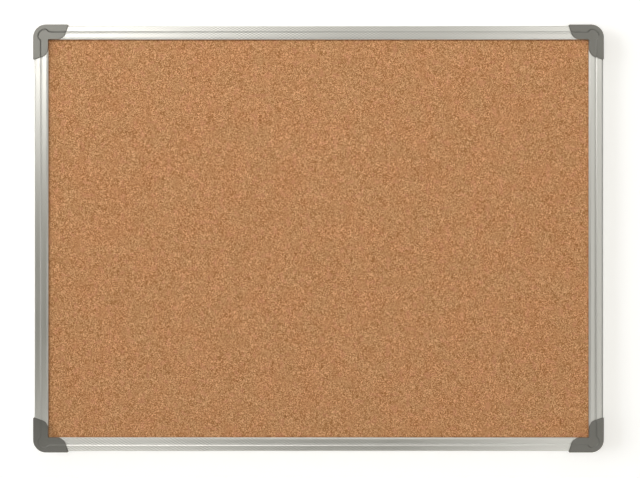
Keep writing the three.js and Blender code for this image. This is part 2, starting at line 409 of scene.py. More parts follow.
@dataclass(frozen=True)
class CorkFinish:
    """Pressed cork: small crumbs with dark seams, calm and busy areas, bark specks and rosy patches."""

    crumb: float = 2.3 * MM
    fines: float = 0.93 * MM
    area: float = 13 * MM
    area_gain: float = 2.4
    area_cut: float = 0.2
    patch: float = 7 * MM
    drift: float = 20 * MM
    drift_gain: float = 3.0
    ragged: float = 0.6 * MM
    ragged_size: float = 0.8 * MM
    dome_top: float = 0.46
    seam_weight: float = 0.07
    fine_weight: float = 0.72
    crumb_weight: float = 0.04
    rosy_weight: float = 0.3
    rosy_from: float = 0.63
    rosy_gain: float = 14.0
    speck_share: float = 0.04
    speck_weight: float = 0.4
    speck: Colour = (0.209, 0.074, 0.018)
    rosy: Colour = (0.60, 0.255, 0.145)
    olive: Colour = (0.978, 1.013, 1.013)
    russet: Colour = (1.022, 0.987, 0.987)
    tones: Stops = (
        (0.0, (0.203, 0.067, 0.013)),
        (0.25, (0.332, 0.138, 0.044)),
        (0.5, (0.486, 0.234, 0.098)),
        (0.75, (0.674, 0.362, 0.175)),
        (1.0, (0.917, 0.53, 0.286)),
    )
    relief: float = 0.12 * MM
    relief_shown: float = 0.4
    dome_relief: float = 0.6
    fine_relief: float = 0.4
    roughness: float = 0.88
    roughness_spread: float = 0.15
    refraction: float = 1.45
    specular: float = 0.2

    def material(self) -> Material:
        """Makes the cork's material.

        Returns:
            The material.
        """
        paint = Paint("pressed cork")
        ragged = paint.jitter(paint.place(), self.ragged_size, self.ragged)
        dome = self.dome_top - paint.cells(self.crumb, ragged, "Distance")
        crumb_tone = paint.channel(paint.cells(self.crumb, ragged, "Color"), "Red") - 0.5
        fines = paint.cells(self.fines, ragged, "Color")
        fine_tone = paint.channel(fines, "Green") - 0.5
        busy = (paint.cloud(self.area, detail=1.0) * self.area_gain - self.area_cut).clamped()
        grain = dome * self.seam_weight + fine_tone * self.fine_weight + crumb_tone * self.crumb_weight
        body = paint.ramp((grain * busy + 0.5).clamped(), self.tones)
        bark = paint.channel(fines, "Blue") < self.speck_share
        speckled = paint.blend(bark * self.speck_weight, body, self.speck)
        warm = ((paint.cloud(self.drift, detail=1.5) - 0.5) * self.drift_gain + 0.5).clamped()
        drifting = paint.blend(1.0, speckled, paint.blend(warm, self.olive, self.russet), "MULTIPLY")
        patch = ((paint.cloud(self.patch, detail=0.0) - self.rosy_from) * self.rosy_gain).clamped()
        mottled = paint.blend(patch * self.rosy_weight, drifting, self.rosy)
        height = dome * self.dome_relief + fine_tone * self.fine_relief + 0.5
        return paint.surface(
            {"IOR": self.refraction, "Specular IOR Level": self.specular},
            {
                "Base Color": mottled,
                "Roughness": self.roughness + fine_tone * self.roughness_spread,
                "Normal": paint.bump(height, self.relief, self.relief_shown),
            },
        )


@dataclass(frozen=True)
class AluminiumFinish:
    """Satin anodised extrusion with draw lines along it and a faint slanting hatch on its face."""

    grain: Grain
    hatch: float
    lean: float
    hatch_from: float = -1.0
    colour: Colour = (0.748, 0.736, 0.688)
    line: float = 0.3 * MM
    line_length: float = 120 * MM
    hatch_pitch: float = 4.5 * MM
    hatch_rise: float = 2.6 * MM
    hatch_fade: float = 0.25
    hatch_fade_from: float = 0.45
    hatch_faded: float = 0.15
    hatch_begin: float = 40 * MM
    hatch_before: float = 0.2
    hatch_patch: float = 16 * MM
    hatch_patch_gain: float = 3.0
    hatch_patch_cut: float = 0.9
    hatch_depth: float = 14.6 * MM
    handling: float = 35 * MM
    shade: float = 0.96
    line_shade: float = 0.06
    handling_shade: float = 0.02
    roughness: float = 0.30
    roughness_spread: float = 0.04
    anisotropy: float = 0.15
    quarter_turn: float = 0.25
    relief: float = 0.002 * MM
    relief_shown: float = 0.5
    line_relief: float = 0.6
    hatch_relief: float = 0.4

    def _lines(self, paint: Paint) -> Wire:
        """Noise drawn out along the grain.

        Args:
            paint: The material under construction.

        Returns:
            A wire with the noise.
        """
        long = 1.0 / self.line_length
        fine = 1.0 / self.line
        scale = (long, fine, fine) if self.grain is Grain.ALONG_X else (fine, fine, long)
        return paint.cloud(1.0, detail=2.0, vector=paint.stretched(scale))

    def _hatch(self, paint: Paint) -> Wire:
        """Patches of crossed slanting lines on the face, from minus one to one, clearest on the left.

        Args:
            paint: The material under construction.

        Returns:
            A wire with the lines.
        """
        along, across = ("X", "Z") if self.grain is Grain.ALONG_X else ("Z", "X")
        run = paint.axis(along) * (2 * math.pi / self.hatch_pitch)
        rise = paint.axis(across) * (2 * math.pi / self.hatch_rise)
        falling = (run + rise).cosine() * (0.5 + self.lean / 2)
        rising = (run - rise).cosine() * (0.5 - self.lean / 2)
        fading = (self.hatch_fade_from - paint.axis("X") / self.hatch_fade).clamped()
        clear = fading * (1.0 - self.hatch_faded) + self.hatch_faded
        beginning = ((paint.axis("X") - self.hatch_from) / self.hatch_begin).clamped()
        begun = beginning * (1.0 - self.hatch_before) + self.hatch_before
        patches = paint.cloud(self.hatch_patch, detail=1.0)
        patchy = (patches * self.hatch_patch_gain - self.hatch_patch_cut).clamped()
        front = ((0.0 - paint.axis("Y")) / MM - self.hatch_depth / MM).clamped()
        return (falling + rising) * clear * begun * patchy * front

    def material(self) -> Material:
        """Makes the rail's material.

        Returns:
            The material.
        """
        paint = Paint(f"satin aluminium {self.grain.value} {self.lean:g}")
        lines = self._lines(paint)
        hatch = self._hatch(paint)
        handling = paint.cloud(self.handling, detail=3.0)
        shade = self.shade + lines * self.line_shade + handling * self.handling_shade + hatch * self.hatch
        spread = self.roughness_spread
        roughness = self.roughness - spread + lines * spread + handling * spread
        height = lines * self.line_relief + hatch * self.hatch_relief
        turn = self.quarter_turn if self.grain is Grain.ALONG_X else 0.0
        return paint.surface(
            {"Metallic": 1.0, "Anisotropic": self.anisotropy, "Anisotropic Rotation": turn},
            {
                "Base Color": paint.scaled(self.colour, shade),
                "Roughness": roughness,
                "Normal": paint.bump(height, self.relief, self.relief_shown),
            },
        )


@dataclass(frozen=True)
class MouldedFinish:
    """Plastic with a pewter-grey metallic lacquer over a fine eroded texture."""

    colour: Colour = (0.197, 0.192, 0.172)
    texture: float = 0.5 * MM
    flow: float = 22 * MM
    shade: float = 0.9
    pore_shade: float = 0.12
    flow_shade: float = 0.08
    metallic: float = 0.85
    roughness: float = 0.30
    roughness_spread: float = 0.05
    refraction: float = 1.5
    relief: float = 0.01 * MM
    relief_shown: float = 0.5

    def material(self) -> Material:
        """Makes the corner mouldings' material.

        Returns:
            The material.
        """
        paint = Paint("pewter grey lacquer")
        pores = paint.cloud(self.texture, detail=2.0)
        flow = paint.cloud(self.flow, detail=2.0)
        shade = self.shade + pores * self.pore_shade + flow * self.flow_shade
        spread = self.roughness_spread
        return paint.surface(
            {"IOR": self.refraction, "Metallic": self.metallic},
            {
                "Base Color": paint.scaled(self.colour, shade),
                "Roughness": self.roughness - spread + pores * spread + flow * spread,
                "Normal": paint.bump(pores, self.relief, self.relief_shown),
            },
        )


@dataclass(frozen=True)
class ZincFinish:
    """Bright zinc plate with a faint spangle and handling marks."""

    colour: Colour = (0.62, 0.63, 0.615)
    spangle: float = 5 * MM
    ragged: float = 1.5 * MM
    ragged_size: float = 2 * MM
    rub: tuple[float, float, float] = (90.0, 2200.0, 2200.0)
    shade: float = 0.86
    crystal_shade: float = 0.16
    rub_shade: float = 0.1
    roughness: float = 0.34
    crystal_roughness: float = 0.12
    rub_roughness: float = 0.08
    relief: float = 0.01 * MM
    relief_shown: float = 0.4

    def material(self) -> Material:
        """Makes the hangers' and screws' material.

        Returns:
            The material.
        """
        paint = Paint("zinc plate")
        ragged = paint.jitter(paint.place(), self.ragged_size, self.ragged)
        crystal = paint.channel(paint.cells(self.spangle, ragged, "Color"), "Red")
        rubbed = paint.cloud(1.0, detail=3.0, vector=paint.stretched(self.rub))
        shade = self.shade + crystal * self.crystal_shade + rubbed * self.rub_shade
        rough = self.roughness - self.rub_roughness + crystal * self.crystal_roughness
        return paint.surface(
            {"Metallic": 1.0},
            {
                "Base Color": paint.scaled(self.colour, shade),
                "Roughness": rough + rubbed * self.rub_roughness,
                "Normal": paint.bump(rubbed, self.relief, self.relief_shown),
            },
        )


@dataclass(frozen=True)
class BackSheetFinish:
    """Grey backing sheet with a pebbled emboss."""

    colour: Colour = (0.456, 0.462, 0.439)
    pebble: float = 1.6 * MM
    ragged: float = 0.8 * MM
    ragged_size: float = 1.1 * MM
    cloudy: float = 60 * MM
    shade: float = 0.9
    cloud_shade: float = 0.14
    pebble_shade: float = 0.08
    roughness: float = 0.5
    roughness_spread: float = 0.12
    refraction: float = 1.5
    relief: float = 0.1 * MM
    relief_shown: float = 0.5

    def material(self) -> Material:
        """Makes the backing sheet's material.

        Returns:
            The material.
        """
        paint = Paint("pebbled grey sheet")
        ragged = paint.jitter(paint.place(), self.ragged_size, self.ragged)
        pebbles = paint.cells(self.pebble, ragged, "Distance", "SMOOTH_F1")
        cloudy = paint.cloud(self.cloudy, detail=3.0)
        shade = self.shade + cloudy * self.cloud_shade + pebbles * self.pebble_shade
        return paint.surface(
            {"IOR": self.refraction},
            {
                "Base Color": paint.scaled(self.colour, shade),
                "Roughness": self.roughness + cloudy * self.roughness_spread,
                "Normal": paint.bump(pebbles, self.relief, self.relief_shown),
            },
        )


@dataclass(frozen=True)
class SoftboardFinish:
    """Pressed wood fibre."""

    pale: Colour = (0.46, 0.325, 0.175)
    dark: Colour = (0.30, 0.195, 0.09)
    fibre: float = 0.7 * MM
    fibre_length: float = 10 / 3 * MM
    roughness: float = 0.9
    roughness_spread: float = 0.1
    specular: float = 0.15
    relief: float = 0.3 * MM
    relief_shown: float = 0.6

    def material(self) -> Material:
        """Makes the core's material.

        Returns:
            The material.
        """
        paint = Paint("wood fibre board")
        scale = (1 / self.fibre_length, 1 / self.fibre, 1 / self.fibre)
        fibres = paint.cloud(1.0, detail=4.0, vector=paint.stretched(scale))
        return paint.surface(
            {"Specular IOR Level": self.specular},
            {
                "Base Color": paint.blend(fibres, self.dark, self.pale),
                "Roughness": self.roughness + fibres * self.roughness_spread,
                "Normal": paint.bump(fibres, self.relief, self.relief_shown),
            },
        )


# Mesh helpers


def spot(along: float, up: float, depth: float) -> Vector:
    """A point of the upright board, from its distance to the right, up and out from the wall."""
    return Vector((along, -depth, up))


def arc(centre: Vector, radius: float, start: float, end: float, steps: int) -> list[Vector]:
    """Points on an arc in the drawing plane.

    Args:
        centre: The arc's centre, as right and up.
        radius: Its radius.
        start: The angle of its first point.
        end: The angle of its last point.
        steps: The straight pieces that it has.

    Returns:
        The points in order, both ends included.
    """
    angles = [start + (end - start) * i / steps for i in range(steps + 1)]
    return [centre + radius * Vector((math.cos(a), math.sin(a))) for a in angles]


def only(items: Iterable[object], kind: type) -> list[object]:
    """The items of one kind, out of what an operator made."""
    return [item for item in items if isinstance(item, kind)]


def show(name: str, data: ID) -> Object:
    """Puts data in the scene.

    Args:
        name: The new object's name.
        data: Its mesh, lamp or camera.

    Returns:
        The object.
    """
    obj = bpy.data.objects.new(name, data)
    bpy.context.scene.collection.objects.link(obj)
    return obj


def show_mesh(name: str, bm: BMesh, material: Material | None = None) -> Object:
    """Puts a mesh in the scene.

    Args:
        name: The new object's name.
        bm: Its mesh, which is used up.
        material: Its material, where it has one.

    Returns:
        The object.
    """
    mesh = bpy.data.meshes.new(name)
    bm.to_mesh(mesh)
    bm.free()
    if material:
        mesh.materials.append(material)
    return show(name, mesh)


def divide(bm: BMesh, point: Vector, normal: Vector) -> None:
    """Divides a mesh along a plane through a point."""
    bmesh.ops.bisect_plane(bm, geom=[*bm.verts, *bm.edges, *bm.faces], plane_co=point, plane_no=normal)


def round_corner(bm: BMesh, vert: BMVert, radius: float, steps: int) -> None:
    """Rounds one corner of a flat outline.

    Args:
        bm: The mesh.
        vert: The corner, where two edges meet.
        radius: The radius wanted.
        steps: The straight pieces of the arc.
    """
    first, second = (edge.other_vert(vert).co - vert.co for edge in vert.link_edges)
    run = radius / math.tan(first.angle(second) / 2)
    bmesh.ops.bevel(
        bm, geom=[vert], offset=run, offset_type="OFFSET", segments=steps, profile=0.5,
        affect="VERTICES", clamp_overlap=False, material=-1,
    )


def outline(bm: BMesh, corners: Sequence[Corner], put: Put, steps: int = ROUND_STEPS) -> BMFace:
    """Draws a flat face from corners with radii.

    Args:
        bm: The mesh.
        corners: Two distances and a radius for each corner, in order.
        put: Turns the two distances into a point.
        steps: The straight pieces of each rounded corner.

    Returns:
        The face.
    """
    others = set(bm.faces)
    verts = [bm.verts.new(put(first, second)) for first, second, _ in corners]
    bm.faces.new(verts)
    for vert, (_, _, radius) in zip(verts, corners):
        if radius:
            round_corner(bm, vert, radius, steps)
    return next(face for face in bm.faces if face not in others)


def extrude(bm: BMesh, faces: Iterable[BMFace], shift: Vector) -> None:
    """Draws faces of a mesh out into a solid."""
    made = bmesh.ops.extrude_face_region(bm, geom=list(faces))["geom"]
    bmesh.ops.translate(bm, verts=only(made, BMVert), vec=shift)


def round_edges(bm: BMesh, edges: Iterable[BMEdge], radius: float, steps: int, clamp: bool = True) -> None:
    """Rounds edges of a solid.

    Args:
        bm: The mesh.
        edges: The edges.
        radius: The radius wanted.
        steps: The straight pieces of a rounding.
        clamp: Whether crowded edges get a smaller radius.
    """
    bmesh.ops.bevel(
        bm, geom=list(edges), offset=radius, offset_type="OFFSET", segments=steps, profile=0.5,
        affect="EDGES", clamp_overlap=clamp, material=-1,
    )


def tidy(bm: BMesh, merge: float = 0.0005 * MM) -> None:
    """Merges doubles and turns all faces outwards.

    Args:
        bm: The mesh.
        merge: How near two points are one.
    """
    bmesh.ops.remove_doubles(bm, verts=bm.verts, dist=merge)
    bmesh.ops.dissolve_degenerate(bm, dist=merge, edges=bm.edges)
    bmesh.ops.recalc_face_normals(bm, faces=bm.faces)


def prism(corners: Sequence[Corner], put: Put, shift: Vector, steps: int = ROUND_STEPS) -> BMesh:
    """A solid with one outline all the way through.

    Args:
        corners: The outline's corners with their radii.
        put: Turns a corner into a point.
        shift: From one end to the other.
        steps: The straight pieces of each rounded corner.

    Returns:
        A new mesh.
    """
    bm = bmesh.new()
    face = outline(bm, corners, put, steps)
    extrude(bm, [face], shift)
    tidy(bm)
    return bm


def slab(low: Vector, high: Vector) -> BMesh:
    """A block between two opposite corners.

    Args:
        low: One corner.
        high: The opposite corner.

    Returns:
        A new mesh.
    """
    bm = bmesh.new()
    bmesh.ops.create_cube(bm, size=1.0)
    size = Vector([abs(b - a) for a, b in zip(low, high)])
    bmesh.ops.scale(bm, vec=size, verts=bm.verts)
    bmesh.ops.translate(bm, vec=(low + high) / 2, verts=bm.verts)
    return bm


def turned(profile: Sequence[tuple[float, float]], steps: int) -> BMesh:
    """A solid turned about the board's depth axis.

    Args:
        profile: Radius and depth of each point, from the axis back to the axis.
        steps: The sides of the round.

    Returns:
        A new mesh.
    """
    bm = bmesh.new()
    verts = [bm.verts.new(spot(radius, 0, depth)) for radius, depth in profile]
    edges = [bm.edges.new(pair) for pair in zip(verts, verts[1:])]
    bmesh.ops.spin(
        bm, geom=verts + edges, cent=(0, 0, 0), axis=(0, 1, 0), angle=2 * math.pi, steps=steps,
        use_merge=True,
    )
    tidy(bm)
    return bm


def carve(body: BMesh, tools: Iterable[BMesh], way: Cut) -> BMesh:
    """Cuts tools away from a solid, joins them to it, or keeps what they have in common.

    Args:
        body: The solid, which is used up.
        tools: The other solids, which are used up.
        way: What is done with them.

    Returns:
        The new solid.
    """
    for tool in tools:
        pair = [show_mesh("body", body), show_mesh("tool", tool)]
        changer = pair[0].modifiers.new("carve", "BOOLEAN")
        changer.operation = way.value
        changer.solver = "EXACT"
        changer.object = pair[1]
        depsgraph = bpy.context.evaluated_depsgraph_get()
        result = pair[0].evaluated_get(depsgraph)
        body = bmesh.new()
        body.from_mesh(result.to_mesh())
        result.to_mesh_clear()
        for obj in pair:
            mesh = obj.data
            bpy.data.objects.remove(obj)
            bpy.data.meshes.remove(mesh)
    return body


def mark_sharp(bm: BMesh, limit: float = math.radians(32)) -> None:
    """Shades all faces smooth, apart from edges that turn more than a limit.

    Args:
        bm: The mesh.
        limit: The largest turn that is smooth.
    """
    for face in bm.faces:
        face.smooth = True
    for edge in bm.edges:
        edge.smooth = edge.is_manifold and edge.calc_face_angle(0.0) < limit


@dataclass
class Piece:
    """One finished piece of the board, ready to be put in the scene."""

    name: str
    bm: BMesh
    material: Material
    slot: str
    node: str
    body: str = BOARD_BODY
    even_shading: bool = True

    def place(self) -> None:
        """Makes the object, ties it to its body and hides the node that it stands for."""
        tidy(self.bm)
        mark_sharp(self.bm)
        obj = show_mesh(self.name, self.bm, self.material)
        if self.even_shading:
            self._even_out(obj)
        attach(obj, self.body)
        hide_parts(self.node)
        LOG.info("%s: %d faces on %s", self.name, len(obj.data.polygons), self.body)

    @staticmethod
    def _even_out(obj: Object) -> None:
        """Weights the normals by area, so that flats stay flat beside small roundings.

        Args:
            obj: The piece's object.
        """
        weights = obj.modifiers.new("even shading", "WEIGHTED_NORMAL")
        weights.keep_sharp = True
        depsgraph = bpy.context.evaluated_depsgraph_get()
        shaded = bpy.data.meshes.new_from_object(obj.evaluated_get(depsgraph))
        plain = obj.data
        obj.modifiers.clear()
        obj.data = shaded
        bpy.data.meshes.remove(plain)
        shaded.name = obj.name


# The board


@dataclass(frozen=True)
class BoardPlan:
    """The board's overall size, and where its sides and corners lie."""

    width: float
    height: float
    depth: float

    @classmethod
    def from_frame(cls) -> "BoardPlan":
        """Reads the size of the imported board."""
        low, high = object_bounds()
        return cls(high.x - low.x, high.z - low.z, -low.y)

    def along(self, side: Side) -> float:
        """The board's length along a side."""
        return self.width if side.level else self.height

    def across(self, side: Side) -> float:
        """The board's length across a side."""
        return self.height if side.level else self.width

    def side_frame(self, side: Side) -> Matrix:
        """Takes the middle of the bottom outer edge to the middle of a side's outer edge."""
        return side.turn @ Matrix.Translation((0, 0, -self.across(side) / 2))

    def corner_frame(self, side: Side) -> Matrix:
        """Takes the bottom left outer corner to the first corner of a side."""
        return side.turn @ Matrix.Translation((-self.along(side) / 2, 0, -self.across(side) / 2))


@dataclass(frozen=True)
class Depths:
    """Depths out from the wall that several pieces share."""

    slot_back: float = 1.0 * MM
    slot_front: float = 3.0 * MM
    mouth_front: float = 2.2 * MM
    flange_front: float = 4.0 * MM
    lip_rear: float = 14.1 * MM
    inner_band: float = 15.6 * MM
    rail_front: float = 16.1 * MM
    cap_inner_front: float = 17.0 * MM
    cap_front: float = 17.6 * MM
    chamber_back: float = 1.6 * MM


@dataclass(frozen=True)
class RailSection:
    """Sizes across a rail, inwards from its outer side, and the depths that only a rail has."""

    face: float = 14.5 * MM
    outer_wall: float = 1.2 * MM
    web_outer: float = 6.8 * MM
    web_inner: float = 8.0 * MM
    flange_edge: float = 13.8 * MM
    hook: float = 1.0 * MM
    groove_low: float = 5.85 * MM
    groove_centre: float = 7.05 * MM
    groove_high: float = 8.25 * MM
    groove_depth: float = 0.5 * MM
    groove_round: float = 1.7 * MM
    bevel_width: float = 1.9 * MM
    bevel_depth: float = 0.8 * MM
    front_round: float = 1.2 * MM
    rear_round: float = 0.4 * MM
    edge_round: float = 0.2 * MM
    band_round: float = 1.5 * MM
    lip_round: float = 0.8 * MM
    proud: float = 1.2 * MM

    @property
    def chamber_centre(self) -> float:
        """The middle of the hollow that takes a corner moulding's leg."""
        return (self.outer_wall + self.web_outer) / 2

    def skin(self, depths: Depths) -> tuple[Corner, ...]:
        """The outer outline: hanger slot at the rear, panel channel, lip and grooved face.

        Args:
            depths: The shared depths.

        Returns:
            Distance inwards, depth and radius of each corner.
        """
        edge = self.edge_round
        return (
            (0, 0, self.rear_round),
            (self.flange_edge, 0, edge),
            (self.flange_edge, depths.slot_back, edge),
            (self.web_inner, depths.slot_back, 0),
            (self.web_inner, depths.slot_front, 0),
            (self.flange_edge - self.hook, depths.slot_front, 0),
            (self.flange_edge - self.hook, depths.mouth_front, 0),
            (self.flange_edge, depths.mouth_front, edge),
            (self.flange_edge, depths.flange_front, edge),
            (self.web_inner, depths.flange_front, 0),
            (self.web_inner, depths.lip_rear, 0),
            (self.face, depths.lip_rear, 0),
            (self.face, depths.inner_band - self.bevel_depth, self.lip_round),
            (self.face - self.bevel_width, depths.inner_band, self.band_round),
            (self.groove_high, depths.inner_band, edge),
            (self.groove_centre, depths.inner_band - self.groove_depth, self.groove_round),
            (self.groove_low, depths.rail_front, edge),
            (0, depths.rail_front, self.front_round),
        )

    def chamber(self, depths: Depths) -> tuple[Corner, ...]:
        """The hollow's outline.

        Args:
            depths: The shared depths.

        Returns:
            Distance inwards, depth and radius of each corner.
        """
        return (
            (self.outer_wall, depths.chamber_back, 0),
            (self.web_outer, depths.chamber_back, 0),
            (self.web_outer, depths.lip_rear, 0),
            (self.outer_wall, depths.lip_rear, 0),
        )


@dataclass(frozen=True)
class ScrewSizes:
    """A countersunk corner screw, and its place in a rail."""

    head_radius: float = 2.4 * MM
    head_height: float = 1.25 * MM
    rim: float = 0.25 * MM
    shank_radius: float = 1.2 * MM
    core_radius: float = 0.9 * MM
    length: float = 9.0 * MM
    point: float = 1.6 * MM
    pitch: float = 0.9 * MM
    sink: float = 0.1 * MM
    clearance: float = 0.15 * MM
    inset: float = 13.0 * MM
    cross_reach: float = 1.3 * MM
    cross_width: float = 0.7 * MM
    cross_depth: float = 0.8 * MM
    cross_taper: float = 0.72
    head_chamfer: float = 0.1 * MM
    tip_radius: float = 0.1 * MM
    thread_start: float = 0.3 * MM
    thread_share: float = 0.3
    thread_root: float = 0.15 * MM


class FrameRail:
    """One aluminium extrusion, with a countersunk hole near either end."""

    hole_sides: int = 40
    hole_past: float = 2 * MM

    def __init__(
        self, side: Side, plan: BoardPlan, depths: Depths, section: RailSection, screw: ScrewSizes,
    ) -> None:
        """Keeps the rail's side and sizes.

        Args:
            side: The side that it frames.
            plan: The board's size.
            depths: The shared depths.
            section: The extrusion's section.
            screw: The screws that its holes take.
        """
        self.side = side
        self.depths = depths
        self.section = section
        self.screw = screw
        self.frame = plan.side_frame(side) @ Matrix.Translation((0, 0, section.proud))
        low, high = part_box(side.rail_node)
        self.length = high.x - low.x if side.level else high.z - low.z

    def screw_places(self) -> tuple[float, float]:
        """How far along the rail its two screws sit."""
        reach = self.length / 2 - self.screw.inset
        return -reach, reach

    def build(self) -> BMesh:
        """Draws the section, pulls it along the side and sinks the screw holes.

        Returns:
            The rail in its place.
        """
        bm = bmesh.new()
        start = -self.length / 2

        def put(inwards: float, depth: float) -> Vector:
            """A point of the section at the rail's first end."""
            return spot(start, inwards, depth)

        rings = (self.section.skin(self.depths), self.section.chamber(self.depths))
        faces = [outline(bm, corners, put) for corners in rings]
        bmesh.ops.delete(bm, geom=faces, context="FACES_ONLY")
        filled = bmesh.ops.triangle_fill(bm, use_beauty=True, use_dissolve=False, edges=bm.edges)["geom"]
        extrude(bm, only(filled, BMFace), Vector((self.length, 0, 0)))
        tidy(bm)
        made = carve(bm, [self._screw_hole(place) for place in self.screw_places()], Cut.AWAY)
        made.transform(self.frame)
        return made

    def _screw_hole(self, place: float) -> BMesh:
        """The tool for a countersunk hole at a place along the rail.

        Args:
            place: How far along the rail it is.

        Returns:
            A new mesh.
        """
        screw = self.screw
        head = screw.head_radius + screw.clearance
        shank = screw.shank_radius + screw.clearance
        past = self.hole_past
        tool = turned((
            (0, -past),
            (head, -past),
            (head, screw.sink + screw.rim),
            (shank, screw.sink + screw.head_height),
            (shank, self.depths.chamber_back + past),
            (0, self.depths.chamber_back + past),
        ), self.hole_sides)
        bmesh.ops.translate(tool, vec=(place, 0, self.section.chamber_centre), verts=tool.verts)
        return tool

    def dress(self, finish: AluminiumFinish) -> Piece:
        """The built rail with its finish."""
        name = f"{self.side.rail_node}_extrusion"
        return Piece(name, self.build(), finish.material(), "satin_aluminium", self.side.rail_node)


@dataclass(frozen=True)
class CapSizes:
    """Sizes of a corner moulding, from the board's outer corner."""

    corner_round: float = 13.5 * MM
    arm: float = 37.3 * MM
    rake: float = math.radians(19.4)
    arm_round: float = 9.0 * MM
    tip_round: float = 1.2 * MM
    inner_round: float = 1.2 * MM
    face: float = 15.7 * MM
    step_line: float = 8.6 * MM
    lobe_band: float = 5.7 * MM
    lobe_flare: float = 3.2 * MM
    lobe_corner: float = 4.2 * MM
    lobe_foot: float = 0.8 * MM
    lobe_round: float = 6.9 * MM
    shoulder: float = 3.0 * MM
    rim_round: float = 0.45 * MM
    tuck: float = 0.05 * MM
    lift: float = 0.01 * MM
    wall: float = 0.95 * MM
    fit: float = 0.25 * MM
    leg_reach: float = 26.0 * MM
    leg_root: float = 1.0 * MM
    leg_round: float = 2.0 * MM
    pocket_wall: float = 1.8 * MM
    pocket_depth: float = 2.4 * MM
    pocket_rib: float = 1.4 * MM
    pocket_round: float = 0.6 * MM
    pocket_corner_share: float = 0.42
    screw_spare: float = 1.0 * MM

    def drawn_back(self, distance: float) -> float:
        """Where an arm's raked end lies at a distance in from the outer edge."""
        return self.arm - distance * math.tan(self.rake)


